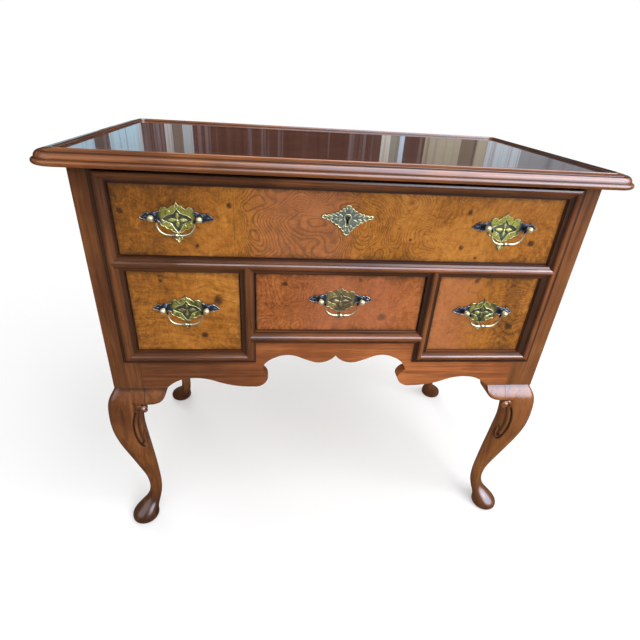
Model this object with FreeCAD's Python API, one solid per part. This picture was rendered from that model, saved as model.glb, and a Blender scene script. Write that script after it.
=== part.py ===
import FreeCAD, Part
import math
import os
from FreeCAD import Vector

# A lowboy: a low chest on four cabriole legs, with one long drawer over three small
# ones. Millimetres, +Z up, drawer fronts facing -Y, origin on the floor at the middle
# of the footprint.

# ---- driving dimensions: the case ----
case_width = 762.0
case_depth = 408.0
top_underside = 715.0
apron_depth = 77.2
post_size = 50.5
side_panel_thickness = 18.0
side_arch_rise = 16.0
side_arch_end = 34.0
side_arch_run = 36.0
side_arch_mid_run = 0.34
side_arch_mid_rise = 0.46
back_panel_thickness = 12.0
back_panel_inset = 6.0
back_panel_rise = 37.5
rail_depth = 60.0
apron_thickness = 20.0
dust_board_thickness = 6.0
dust_board_groove = 6.0

# ---- driving dimensions: the top ----
top_board_thickness = 16.0
rim_height = 20.0
rim_width = 29.0
overhang_front = 37.0
overhang_side = 39.0
overhang_back = 37.0
top_corner_radius = 38.0
nose_radius = 3.8
nose_chords = 3
slope_chords = 2
rim_step_in = 4.8
rim_step_height = 11.0
rim_crest_width = 4.0
rim_bulge_in = 0.12
rim_bulge_up = 0.68

# ---- driving dimensions: the drawers ----
long_drawer_height = 105.0
side_drawer_height = 142.3
centre_drawer_width = 273.0
centre_drawer_height = 103.3
front_thickness = 20.0
front_recess = 1.6
front_gap = 1.0
drawer_rear_gap = 12.0
drawer_side_thickness = 10.0
drawer_back_thickness = 9.0
drawer_side_drop = 5.0
drawer_back_drop = 9.0
drawer_bottom_thickness = 7.0
drawer_bottom_lift = 9.0
drawer_bottom_groove = 5.0
long_drawer_lip = 4.0
slide_clearance = 0.3
overcut = 1.0
dovetail_lap = 14.0
dovetail_pitch = 36.0
dovetail_slope = 1.6
dovetail_tail_share = 0.6
dovetail_least_count = 2

# ---- driving dimensions: beads and rails between the drawers ----
bead_width = 22.0
bead_fillet_width = 2.4
bead_fillet_height = 2.6
bead_shoulder_height = 3.8
bead_crest_height = 8.6
bead_half_round = 5.0
bead_round_chords = 3

# ---- driving dimensions: runners, stops and blocks ----
runner_ledge = 22.5
runner_thickness = 22.0
guide_height = 25.0
stop_height = 5.0
stop_width = 8.0
stop_length = 12.0
stop_gap = 0.2
long_stop_width = 40.0
long_stop_place = 240.0
glue_block_size = 25.0
glue_block_height = 30.0

# ---- driving dimensions: handles ----
handle_pitch = 66.0
handle_rise_long = 8.3
handle_rise_side = 10.8
handle_rise_centre = 10.0
plate_thickness = 1.6
plate_half_width = 52.0
plate_rise = 21.0
plate_drop = 38.5
plate_chords = 2
plate_small_bow = 5.0
post_shank_radius = 2.0
post_neck_radius = 2.6
post_flange_radius = 5.2
post_flange_height = 2.2
post_ball_radius = 4.4
post_ball_bands = 3
post_ball_flat = 0.3
post_reach = 16.0
post_hole_clearance = 0.1
nut_radius = 5.0
small_sides = 6
turned_sides = 8
nut_height = 3.5
bail_pin_radius = 1.1
bail_pin_clearance = 0.06
bail_pin_play = 0.4
bail_rod_radius = 1.6
bail_half_width = 26.0
bail_drop = 23.5
bail_shoulder_radius = 1.8
bail_corner_radius = 14.0
bail_sides = 6
bail_corner_chords = 3
bail_shoulder_chords = 2
bail_bead_radius = 2.8
bail_bead_half = 2.2
bail_collar_radius = 2.3
bail_collar_width = 1.6

# ---- driving dimensions: lock ----
escutcheon_depth = 39.5
escutcheon_half_width = 39.5
escutcheon_rise = 19.5
escutcheon_drop = 26.0
escutcheon_tip_rise = 2.6
escutcheon_sag = 4.0
escutcheon_scallop_count = 5
escutcheon_scallop_rise = 0.22
keyhole_radius = 3.2
keyhole_slot = 3.4
keyhole_drop = 9.0
keyhole_sides = 12
lock_half_width = 32.0
lock_height = 56.0
lock_thickness = 11.0
lock_wall = 1.6
bolt_half_width = 11.0
bolt_thickness = 4.0
bolt_height = 26.0
bolt_foot = 5.0
bolt_foot_height = 9.0
bolt_travel = 6.0
bolt_clearance = 0.25
bolt_play = 0.5
key_pin_radius = 1.4
key_pin_recess = 1.0

# ---- cabriole leg: share of the leg's height, offset of the section's centre from the
# case corner along the diagonal (inwards is positive), half width, squareness ----
LEG_SECTIONS = (
    (0.0000, 10.0, 22.4, 2.0),
    (0.0146, 10.0, 25.7, 2.0),
    (0.0438, 11.2, 24.9, 2.0),
    (0.0759, 19.2, 20.4, 2.0),
    (0.1109, 31.0, 15.0, 2.0),
    (0.1577, 39.2, 12.0, 2.0),
    (0.2336, 41.4, 11.7, 2.0),
    (0.3153, 38.4, 13.5, 2.0),
    (0.4146, 32.0, 17.6, 2.0),
    (0.5255, 24.3, 21.7, 2.1),
    (0.6307, 17.2, 25.0, 2.3),
    (0.7358, 12.2, 26.6, 2.6),
    (0.8409, 12.9, 27.0, 3.2),
    (0.9285, 18.4, 26.7, 4.2),
)
leg_top_squareness = 8.0
leg_top_ease = 0.4
leg_sides = 16

# ---- knee block: share of its reach along the case, share of its full size there; then its
# section from the case down, as shares of its swell and of its drop ----
knee_block_reach = 35.0
knee_block_drop = 30.0
knee_block_swell = 15.0
knee_block_depth = 30.0
KNEE_BLOCK_RUN = ((-0.55, 1.00), (0.40, 0.98), (0.78, 0.82), (1.00, 0.35))
KNEE_BLOCK_SECTION = ((0.00, 0.00), (0.66, 0.30), (1.00, 0.70), (0.78, 0.94), (0.30, 1.00))

# ---- apron outline, right half, as arcs of three points each: share of the case's half width
# from the middle, share of the apron's depth below the side drawers' opening ----
APRON_ARCS = (
    ((0.7664, 1.000), (0.7257, 0.834), (0.6745, 0.741)),
    ((0.6745, 0.741), (0.6089, 0.737), (0.5354, 0.842)),
    ((0.5354, 0.842), (0.4567, 0.951), (0.3753, 0.982)),
    ((0.3753, 0.982), (0.3215, 0.881), (0.3081, 0.745)),
    ((0.3081, 0.745), (0.3163, 0.628), (0.3407, 0.528)),
    ((0.3407, 0.528), (0.3228, 0.356), (0.2730, 0.174)),
    ((0.2730, 0.174), (0.2231, 0.108), (0.1680, 0.163)),
    ((0.1680, 0.163), (0.1312, 0.241), (0.0945, 0.306)),
    ((0.0945, 0.306), (0.0472, 0.293), (0.0000, 0.130)),
)

# ---- places worked out from the driving dimensions ----
half_width = case_width / 2
post_inner = half_width - post_size
bead_half = bead_width / 2
long_half = post_inner + long_drawer_lip
centre_half = centre_drawer_width / 2 + front_gap
partition_outer = centre_half + bead_width
side_half = post_inner
long_open_top = top_underside - bead_width
long_drawer_top = long_open_top - front_gap
long_open_bottom = long_drawer_top - long_drawer_height - front_gap
small_open_top = long_open_bottom - bead_width
side_open_bottom = small_open_top - side_drawer_height - 2 * front_gap
centre_open_bottom = small_open_top - centre_drawer_height - 2 * front_gap
leg_height = side_open_bottom - apron_depth
side_drawer_middle = (partition_outer + side_half) / 2
panel_inner = half_width - side_panel_thickness
back_inner = case_depth - back_panel_inset - back_panel_thickness
drawer_length = back_inner - drawer_rear_gap
front_back = front_recess + front_thickness
rim_top = top_underside + rim_height
crest_left = long_half + bead_half
centre_y = (case_depth + overhang_back - overhang_front) / 2
handle_y = front_recess - post_reach
escutcheon_height = long_drawer_top - escutcheon_depth
slot_reach = bolt_half_width + bolt_clearance
bolt_front = front_back - lock_thickness + lock_wall + bolt_play

os.makedirs("parts", exist_ok=True)


def box(x0, x1, y0, y1, z0, z1):
    return Part.makeBox(x1 - x0, y1 - y0, z1 - z0, Vector(x0, y0, z0))


def fuse(solids):
    joined = solids[0]
    for solid in solids[1:]:
        joined = joined.fuse(solid)
    return joined.removeSplitter()


def mirrored(shape):
    return shape.mirror(Vector(0, 0, 0), Vector(1, 0, 0))


def both_sides(shape):
    return [shape, mirrored(shape)]


def polygon(points):
    return Part.makePolygon(list(points) + [points[0]])


def prism(points, travel):
    return Part.Face(polygon(points)).extrude(travel)


def arc(start, middle, end):
    return Part.Arc(start, middle, end).toShape()


def line(start, end):
    return Part.makeLine(start, end)


def save(name, solids):
    shape = solids[0] if len(solids) == 1 else Part.makeCompound(solids)
    shape = shape.copy()
    shape.translate(Vector(0, -centre_y, 0))
    count = len(shape.Solids)
    if not shape.isValid() or count < len(solids):
        raise ValueError(name + " is not sound")
    shape.exportStep("parts/" + name + ".step")
    print(name, count, "solids", round(shape.Volume / 1000.0, 1), "cm3")


# ---- the top: a veneered board inside a rim of moulding, mitred at rounded corners ----
def rim_profile(distance):
    inner = -(distance - rim_width)
    outer = -distance
    nose_middle = outer + nose_radius
    nose_top = top_underside + 2 * nose_radius
    step = outer + rim_step_in
    step_top = top_underside + rim_step_height
    crest = inner - rim_crest_width
    mid_slope = (step + crest) / 2 + rim_bulge_in * (step - crest)
    mid_height = step_top + rim_bulge_up * (rim_top - step_top)
    corner = [Vector(0, y, z) for y, z in (
        (inner, top_underside), (nose_middle, top_underside), (outer, top_underside + nose_radius),
        (nose_middle, nose_top), (step, nose_top), (step, step_top), (mid_slope, mid_height),
        (crest, rim_top), (inner, rim_top))]
    nose = arc(corner[1], corner[2], corner[3]).discretize(nose_chords + 1)
    slope = arc(corner[5], corner[6], corner[7]).discretize(slope_chords + 1)
    return Part.Face(polygon([corner[0]] + nose + [corner[4]] + slope + corner[8:]))


def rim_side(half_length, distance, turn):
    straight = half_length - top_corner_radius
    profile = rim_profile(distance)
    profile.translate(Vector(straight, 0, 0))
    run = profile.extrude(Vector(-2 * straight, 0, 0))
    corner_axis = Vector(straight, top_corner_radius - distance, 0)
    corner = profile.revolve(corner_axis, Vector(0, 0, 1), 45)
    side = fuse([run, corner, mirrored(corner)])
    side.rotate(Vector(0, 0, 0), Vector(0, 0, 1), turn)
    side.translate(Vector(0, centre_y, 0))
    return side


def top_edge_mouldings():
    half_x = half_width + overhang_side
    half_y = (case_depth + overhang_front + overhang_back) / 2
    return [rim_side(half_x, half_y, 0), rim_side(half_y, half_x, 90),
            rim_side(half_x, half_y, 180), rim_side(half_y, half_x, 270)]


def top_board():
    half_x = half_width + overhang_side - rim_width
    front = rim_width - overhang_front
    back = case_depth + overhang_back - rim_width
    board = box(-half_x, half_x, front, back, top_underside, top_underside + top_board_thickness)
    upright = [edge for edge in board.Edges if abs(edge.BoundBox.ZLength - top_board_thickness) < 0.01]
    return board.makeFillet(top_corner_radius - rim_width, upright)


# ---- legs: the square post and the cabriole leg below it are one piece ----
def leg_section(share, offset, half, squareness):
    centre = -half_width + offset / math.sqrt(2)
    middle_y = offset / math.sqrt(2)
    height = share * leg_height
    points = []
    for step in range(leg_sides):
        angle = 2 * math.pi * step / leg_sides
        across, along = math.cos(angle), math.sin(angle)
        reach = half / (abs(across) ** squareness + abs(along) ** squareness) ** (1 / squareness)
        points.append(Vector(centre + reach * across, middle_y + reach * along, height))
    return polygon(points)


def front_left_leg_blank():
    knee_top = (1.0, post_size / math.sqrt(2), post_size / 2 - leg_top_ease, leg_top_squareness)
    wires = [leg_section(*section) for section in LEG_SECTIONS + (knee_top,)]
    cabriole = Part.makeLoft(wires, True, True)
    post = box(-half_width, -post_inner, 0, post_size, leg_height, top_underside)
    return post.fuse(cabriole)


def to_back(shape):
    return shape.mirror(Vector(0, case_depth / 2, 0), Vector(0, 1, 0))


def front_left_leg(blank):
    rebate = box(-long_half, -post_inner + overcut, -overcut, front_back + front_gap, long_open_bottom,
                 long_open_top)
    return blank.cut(rebate)


# ---- knee blocks: glued under the case beside each knee, shaped to run into it ----
def knee_block_slice(run, share):
    x = -post_inner + run * knee_block_reach
    low = leg_height - share * knee_block_drop
    front = [Vector(x, -out * share * knee_block_swell, leg_height - down * share * knee_block_drop)
             for out, down in KNEE_BLOCK_SECTION]
    return polygon(front + [Vector(x, knee_block_depth, low), Vector(x, knee_block_depth, leg_height)])


def knee_block(blank):
    slices = [knee_block_slice(*place) for place in KNEE_BLOCK_RUN]
    return Part.makeLoft(slices, True, True).cut(blank)


def across_diagonal(shape):
    corner = Vector(-half_width, 0, 0)
    return shape.mirror(corner, Vector(1, -1, 0))


def knee_blocks(blank):
    front_block = knee_block(blank)
    side_block = across_diagonal(front_block)
    corner = [front_block, side_block, to_back(side_block)]
    return corner + [mirrored(solid) for solid in corner]


# ---- case panels and rails ----
def side_arch(start, inward):
    """One rising end of the arch under a side panel, from its low point, as three points."""
    steps = ((0.0, 0.0), (side_arch_mid_run, side_arch_mid_rise), (1.0, 1.0))
    return [Vector(-half_width, start + inward * run * side_arch_run, leg_height + rise * side_arch_rise)
            for run, rise in steps]


def side_panel():
    front = post_size
    back = case_depth - post_size
    rise_front = side_arch(front + side_arch_end, 1)
    rise_back = side_arch(back - side_arch_end, -1)
    corners = [Vector(-half_width, y, z) for y, z in (
        (front, leg_height), (front, top_underside), (back, top_underside), (back, leg_height))]
    around = [rise_front[0]] + corners + [rise_back[0]]
    edges = [line(a, b) for a, b in zip(around, around[1:])]
    edges += [arc(*rise_back), line(rise_back[2], rise_front[2]), arc(*reversed(rise_front))]
    return Part.Face(Part.Wire(edges)).extrude(Vector(side_panel_thickness, 0, 0))


def back_panel():
    return box(-post_inner, post_inner, back_inner, back_inner + back_panel_thickness,
               leg_height + back_panel_rise, top_underside)


def bolt_slot(low, high):
    return box(-slot_reach, slot_reach, bolt_front - bolt_clearance,
               bolt_front + bolt_thickness + bolt_clearance, low, high)


def bolt_mortise():
    return bolt_slot(long_open_top - overcut, long_open_top + bolt_travel)


def top_rail():
    rail = box(-post_inner, post_inner, 0, rail_depth, long_open_top, top_underside)
    return rail.cut(bolt_mortise())


def dust_board():
    half = post_inner - runner_ledge + dust_board_groove
    middle = (small_open_top + long_open_bottom) / 2
    return box(-half, half, rail_depth - dust_board_groove, back_inner,
               middle - dust_board_thickness / 2, middle + dust_board_thickness / 2)


def mid_rail():
    rail = box(-post_inner, post_inner, 0, rail_depth, small_open_top, long_open_bottom)
    return rail.cut(dust_board())


def apron_point(across, down):
    return Vector(across * half_width, 0, side_open_bottom - down * apron_depth)


def front_apron():
    right = [[apron_point(*place) for place in bow] for bow in APRON_ARCS]
    left = [[Vector(-point.x, 0, point.z) for point in reversed(bow)] for bow in reversed(right)]
    start, end = right[0][0], left[-1][-1]
    over = [end, Vector(-post_inner, 0, leg_height), Vector(-post_inner, 0, side_open_bottom),
            Vector(-centre_half, 0, side_open_bottom), Vector(-centre_half, 0, centre_open_bottom),
            Vector(centre_half, 0, centre_open_bottom), Vector(centre_half, 0, side_open_bottom),
            Vector(post_inner, 0, side_open_bottom), Vector(post_inner, 0, leg_height), start]
    edges = [arc(*bow) for bow in right + left] + [line(a, b) for a, b in zip(over, over[1:])]
    return Part.Face(Part.Wire(edges)).extrude(Vector(0, apron_thickness, 0))


def partition():
    return box(-partition_outer, -centre_half, 0, rail_depth, side_open_bottom, small_open_top)


# ---- runners carry the drawers, their guides steer them, kickers stop them tipping ----
def ledge_and_guide(top, bottom, guide_top):
    ledge = box(-post_inner, -post_inner + runner_ledge, 0, back_inner, bottom, top)
    guide = box(-panel_inner, -post_inner, post_size, case_depth - post_size, bottom, guide_top)
    return ledge, guide


def upper_runner():
    ledge, guide = ledge_and_guide(long_open_bottom, small_open_top, long_open_bottom + guide_height)
    ledge = ledge.cut(box(-half_width, 0, -overcut, rail_depth, 0, rim_top))
    return fuse([ledge, guide]).cut(dust_board())


def kicker():
    ledge, guide = ledge_and_guide(top_underside, long_open_top, top_underside)
    ledge = ledge.cut(box(-half_width, 0, -overcut, rail_depth, 0, rim_top))
    return fuse([ledge, guide])


def side_runner():
    ledge, guide = ledge_and_guide(side_open_bottom, side_open_bottom - runner_thickness,
                                   side_open_bottom + guide_height)
    ledge = ledge.cut(box(-half_width, 0, -overcut, apron_thickness, 0, rim_top))
    return fuse([ledge, guide])


def inner_runner():
    low = side_open_bottom - runner_thickness
    section = [Vector(x, apron_thickness, z) for x, z in (
        (-partition_outer - runner_ledge, low), (-partition_outer - runner_ledge, side_open_bottom),
        (-partition_outer, side_open_bottom), (-partition_outer, centre_open_bottom + guide_height),
        (-centre_half, centre_open_bottom + guide_height), (-centre_half, centre_open_bottom),
        (-centre_half + runner_ledge, centre_open_bottom),
        (-centre_half + runner_ledge, centre_open_bottom - runner_thickness),
        (-centre_half, centre_open_bottom - runner_thickness), (-centre_half, low))]
    beam = prism(section, Vector(0, back_inner - apron_thickness, 0))
    return beam.cut(partition())


def stop_block(x_middle, width, floor):
    return box(x_middle - width / 2, x_middle + width / 2, front_back + stop_gap,
               front_back + stop_gap + stop_length, floor, floor + stop_height)


def drawer_stops():
    inside = front_gap + drawer_side_thickness + stop_width
    blocks = [stop_block(-long_stop_place, long_stop_width, long_open_bottom),
              stop_block(-side_half + inside, stop_width, side_open_bottom),
              stop_block(-partition_outer - inside, stop_width, side_open_bottom),
              stop_block(-centre_half + inside, stop_width, centre_open_bottom)]
    return blocks + [mirrored(block) for block in blocks]


def glue_block(x_middle):
    top = side_open_bottom - runner_thickness
    near = Vector(x_middle - glue_block_size / 2, apron_thickness, top)
    far = Vector(near.x, near.y + glue_block_size, top)
    foot = Vector(near.x, near.y, top - glue_block_height)
    return prism([near, far, foot], Vector(glue_block_size, 0, 0))


def glue_blocks():
    outer = -post_inner + glue_block_size / 2
    inner = -(centre_half + partition_outer) / 2
    blocks = [glue_block(outer), glue_block(inner)]
    return blocks + [mirrored(block) for block in blocks]


# ---- beads: half-round mouldings round every drawer opening, mitred at the corners ----
def bead_half_profile(width, corner, outward):
    """Half a bead's section: a fillet, a slope and a quarter round, standing out from a corner."""
    shoulder = width - bead_half_round
    rise = bead_crest_height - bead_shoulder_height
    bend = math.sin(math.radians(45))
    section = [(0, 0), (0, bead_fillet_height), (bead_fillet_width, bead_fillet_height),
               (shoulder, bead_shoulder_height),
               (shoulder + bead_half_round * (1 - bend), bead_shoulder_height + rise * bend),
               (width, bead_crest_height), (width, 0)]
    points = [corner + outward * across + Vector(0, -height, 0) for across, height in section]
    quarter_round = arc(points[3], points[4], points[5]).discretize(bead_round_chords + 1)
    return Part.Face(polygon(points[:3] + quarter_round + points[6:]))


def bead_half_strip(edge_start, edge_end, crest_start, crest_end):
    """Half a bead from its flat edge to its crest, between two mitres (x, z points)."""
    edge_a, edge_b = Vector(edge_start[0], 0, edge_start[1]), Vector(edge_end[0], 0, edge_end[1])
    crest_a, crest_b = Vector(crest_start[0], 0, crest_start[1]), Vector(crest_end[0], 0, crest_end[1])
    along = (edge_b - edge_a).normalize()
    outward = Vector(along.z, 0, -along.x)
    if outward.dot(crest_a - edge_a) < 0:
        outward = outward * -1
    width = (crest_a - edge_a).dot(outward)
    starts = min(0.0, (crest_a - edge_a).dot(along))
    ends = max((edge_b - edge_a).dot(along), (crest_b - edge_a).dot(along))
    profile = bead_half_profile(width, edge_a + along * starts, outward)
    run = profile.extrude(along * (ends - starts))
    deep = Vector(0, -bead_crest_height, 0)
    wedge = prism([edge_a - deep, edge_b - deep, crest_b - deep, crest_a - deep], deep * 3)
    return run.common(wedge)


def bead_top():
    under, over = long_open_top, long_open_top + bead_width
    crest = long_open_top + bead_half
    wide = long_half + bead_width
    crests = (-crest_left, crest), (crest_left, crest)
    return fuse([bead_half_strip((-long_half, under), (long_half, under), *crests),
                 bead_half_strip((-wide, over), (wide, over), *crests)])


def bead_side():
    top_crest, mid_crest = long_open_top + bead_half, small_open_top + bead_half
    low_crest = side_open_bottom - bead_half
    wide = long_half + bead_width
    return fuse([
        bead_half_strip((-long_half, long_open_top), (-long_half, long_open_bottom),
                        (-crest_left, top_crest), (-crest_left, mid_crest)),
        bead_half_strip((-side_half, small_open_top), (-side_half, side_open_bottom),
                        (-crest_left, mid_crest), (-crest_left, low_crest)),
        bead_half_strip((-wide, long_open_top + bead_width), (-wide, side_open_bottom - bead_width),
                        (-crest_left, top_crest), (-crest_left, low_crest))])


def bead_mid():
    crest = small_open_top + bead_half
    divide = centre_half + bead_half
    upper = bead_half_strip((-long_half, long_open_bottom), (long_half, long_open_bottom),
                            (-crest_left, crest), (crest_left, crest))
    left = bead_half_strip((-side_half, small_open_top), (-partition_outer, small_open_top),
                           (-crest_left, crest), (-divide, crest))
    centre = bead_half_strip((-centre_half, small_open_top), (centre_half, small_open_top),
                             (-divide, crest), (divide, crest))
    return fuse([upper, left, centre, mirrored(left)])


def bead_partition():
    divide = centre_half + bead_half
    mid_crest = small_open_top + bead_half
    low_crest, step_crest = side_open_bottom - bead_half, centre_open_bottom - bead_half
    return fuse([
        bead_half_strip((-partition_outer, small_open_top), (-partition_outer, side_open_bottom),
                        (-divide, mid_crest), (-divide, low_crest)),
        bead_half_strip((-centre_half, small_open_top), (-centre_half, centre_open_bottom),
                        (-divide, mid_crest), (-divide, step_crest)),
        bead_half_strip((-centre_half, centre_open_bottom - bead_width),
                        (-centre_half, side_open_bottom - bead_width),
                        (-divide, step_crest), (-divide, low_crest))])


def bead_bottoms():
    divide = centre_half + bead_half
    low_crest, step_crest = side_open_bottom - bead_half, centre_open_bottom - bead_half
    low, step = side_open_bottom - bead_width, centre_open_bottom - bead_width
    side = fuse([
        bead_half_strip((-side_half, side_open_bottom), (-partition_outer, side_open_bottom),
                        (-crest_left, low_crest), (-divide, low_crest)),
        bead_half_strip((-long_half - bead_width, low), (-centre_half, low),
                        (-crest_left, low_crest), (-divide, low_crest))])
    crests = (-divide, step_crest), (divide, step_crest)
    centre = fuse([
        bead_half_strip((-centre_half, centre_open_bottom), (centre_half, centre_open_bottom), *crests),
        bead_half_strip((-centre_half, step), (centre_half, step), *crests)])
    return [side, centre, mirrored(side)]


# ---- drawers: a front lapped over dovetailed sides, a dovetailed back and a loose bottom ----
def dovetails(x0, x1, y_root, y_tip, z0, z1):
    """Tails on the end of a drawer side, flaring from the root line to the tip."""
    count = max(dovetail_least_count, int((z1 - z0) / dovetail_pitch))
    pitch = (z1 - z0) / count
    half_root = dovetail_tail_share * pitch / 2
    tails = []
    for place in range(count):
        middle = z0 + (place + 0.5) * pitch
        half_tip = half_root + dovetail_slope
        corners = [Vector(x0, y, z) for y, z in (
            (y_root, middle - half_root), (y_tip, middle - half_tip), (y_tip, middle + half_tip),
            (y_root, middle + half_root))]
        tails.append(prism(corners, Vector(x1 - x0, 0, 0)))
    return tails


class Drawer:
    def __init__(self, name, x0, x1, z0, z1, lip, handles, rise):
        self.name = name
        self.x0, self.x1, self.z0, self.z1 = x0, x1, z0, z1
        self.side0, self.side1 = x0 + lip, x1 - lip
        self.foot = z0 - front_gap + slide_clearance
        self.handles = handles
        self.handle_z = (z0 + z1) / 2 + rise

    def side(self, x0, x1):
        top = self.z1 - drawer_side_drop
        root = front_back
        rear = drawer_length - drawer_back_thickness
        board = box(x0, x1, root, rear, self.foot, top)
        tails = dovetails(x0, x1, root, root - dovetail_lap, self.z0, top)
        tails += dovetails(x0, x1, rear, drawer_length, self.back_bottom(), top - drawer_back_drop)
        return fuse([board] + tails).cut(self.bottom())

    def sides(self):
        thick = drawer_side_thickness
        return [self.side(self.side0, self.side0 + thick), self.side(self.side1 - thick, self.side1)]

    def back_bottom(self):
        return self.foot + drawer_bottom_lift + drawer_bottom_thickness

    def back(self):
        top = self.z1 - drawer_side_drop - drawer_back_drop
        board = box(self.side0, self.side1, drawer_length - drawer_back_thickness, drawer_length,
                    self.back_bottom(), top)
        for side in self.sides():
            board = board.cut(side)
        return board

    def bottom(self):
        inner = drawer_side_thickness - drawer_bottom_groove
        low = self.foot + drawer_bottom_lift
        return box(self.side0 + inner, self.side1 - inner, front_back - drawer_bottom_groove, drawer_length,
                   low, low + drawer_bottom_thickness)

    def front(self):
        board = box(self.x0, self.x1, front_recess, front_back, self.z0, self.z1)
        for side in self.sides():
            board = board.cut(side)
        board = board.cut(self.bottom())
        for x in self.handles:
            for side in (-1, 1):
                board = board.cut(post_hole(x + side * handle_pitch / 2, self.handle_z))
        return board

    def save_box(self, front):
        save(self.name + "_front", [front])
        save(self.name + "_sides", self.sides())
        save(self.name + "_back", [self.back()])
        save(self.name + "_bottom", [self.bottom()])

    def save_fittings(self):
        save(self.name + "_plates", [backplate(x, self.handle_z) for x in self.handles])
        save(self.name + "_posts", [solid for x in self.handles for solid in posts(x, self.handle_z)])


# ---- handles: a batwing backplate, two ball-headed posts and a hanging bail. The plate's right
# half is arcs of three points each: share of its half width, share of its rise or of its drop ----
PLATE_TOP = (
    ((0.000, 1.000), (0.031, 0.838), (0.081, 0.724)), ((0.081, 0.724), (0.135, 0.695), (0.165, 0.581)),
    ((0.165, 0.581), (0.212, 0.548), (0.231, 0.448)), ((0.231, 0.448), (0.362, 0.614), (0.452, 0.314)),
    ((0.452, 0.314), (0.515, 0.329), (0.558, 0.224)), ((0.558, 0.224), (0.619, 0.262), (0.658, 0.171)),
    ((0.658, 0.171), (0.717, 0.210), (0.758, 0.138)), ((0.758, 0.138), (0.775, 0.210), (0.773, 0.286)),
    ((0.773, 0.286), (0.877, 0.138), (1.000, -0.065)),
)
PLATE_LOW = (
    ((1.000, -0.065), (0.942, -0.127), (0.881, -0.140)), ((0.881, -0.140), (0.831, -0.182), (0.777, -0.161)),
    ((0.777, -0.161), (0.654, -0.229), (0.527, -0.166)), ((0.527, -0.166), (0.500, -0.208), (0.469, -0.223)),
    ((0.469, -0.223), (0.442, -0.358), (0.338, -0.395)), ((0.338, -0.395), (0.285, -0.483), (0.204, -0.494)),
    ((0.204, -0.494), (0.127, -0.592), (0.033, -0.618)), ((0.033, -0.618), (0.023, -0.701), (0.029, -0.779)),
    ((0.029, -0.779), (0.104, -0.836), (0.050, -0.904)), ((0.050, -0.904), (0.031, -0.961), (0.000, -1.000)),
)


def plate_point(x, z, place):
    up = place[1] * (plate_rise if place[1] > 0 else plate_drop)
    return Vector(x + place[0] * plate_half_width, front_recess, z + up)


def flipped(place):
    return (-place[0], place[1])


def bowed_line(start, middle, end):
    """Points along a shallow bow without its last point, or one chord where it is very small."""
    if (end - start).Length < plate_small_bow:
        return [start]
    return arc(start, middle, end).discretize(plate_chords + 1)[:-1]


def backplate(x, z):
    right = PLATE_TOP + PLATE_LOW
    left = tuple(tuple(flipped(place) for place in reversed(bow)) for bow in reversed(right))
    outline = []
    for bow in right + left:
        outline += bowed_line(*(plate_point(x, z, place) for place in bow))
    plate = prism(outline, Vector(0, -plate_thickness, 0))
    for side in (-1, 1):
        plate = plate.cut(post_hole(x + side * handle_pitch / 2, z))
    return plate


def ring(centre, across, up, radius, sides):
    angles = [2 * math.pi * (step + 0.5) / sides for step in range(sides)]
    return polygon([centre + across * (radius * math.cos(angle)) + up * (radius * math.sin(angle))
                    for angle in angles])


def turned(profile, start, axis, sides):
    """A turned piece in flat bands: (distance along the axis, radius) pairs from a start point."""
    up = Vector(0, 0, 1)
    across = axis.cross(up)
    rings = [ring(start + axis * along, across, up, radius, sides) for along, radius in profile]
    bands = Part.makeLoft(rings, True, True)
    skin = Part.Shell([Part.Face(polygon([corner.Point for corner in face.OuterWire.OrderedVertexes]))
                       for face in bands.Faces])
    skin.sewShape()
    return Part.Solid(skin)


def post_hole(x, z):
    radius = post_shank_radius + post_hole_clearance
    return turned(((-front_thickness - overcut, radius), (plate_thickness + overcut, radius)),
                  Vector(x, front_recess, z), Vector(0, -1, 0), small_sides)


def post(x, z, inward):
    """A ball-headed post with its shank through the drawer front and an eye for the bail."""
    seat = plate_thickness
    first = -math.acos(post_neck_radius / post_ball_radius)
    last = math.acos(post_ball_flat)
    angles = [first + (last - first) * step / post_ball_bands for step in range(post_ball_bands + 1)]
    face = Vector(x, front_recess, z)
    shank = turned(((-front_thickness, post_shank_radius), (seat, post_shank_radius)), face,
                   Vector(0, -1, 0), small_sides)
    head = turned([(seat, post_flange_radius), (seat + post_flange_height, post_neck_radius)]
                  + [(post_reach + post_ball_radius * math.sin(angle), post_ball_radius * math.cos(angle))
                     for angle in angles], face, Vector(0, -1, 0), turned_sides)
    eye_radius = (bail_pin_radius + bail_pin_clearance) / math.cos(math.pi / small_sides)
    eye = turned(((-bail_pin_play, eye_radius), (post_ball_radius + overcut, eye_radius)),
                 Vector(x, handle_y, z), Vector(inward, 0, 0), small_sides)
    return fuse([shank, head]).cut(eye)


def nut(x, z):
    return turned(((0, nut_radius), (nut_height, nut_radius)), Vector(x, front_back, z), Vector(0, 1, 0),
                  small_sides)


def posts(x, z):
    """The two posts of one handle, each with its nut inside the drawer."""
    half = handle_pitch / 2
    return [post(x - half, z, 1), nut(x - half, z), post(x + half, z, -1), nut(x + half, z)]


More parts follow.
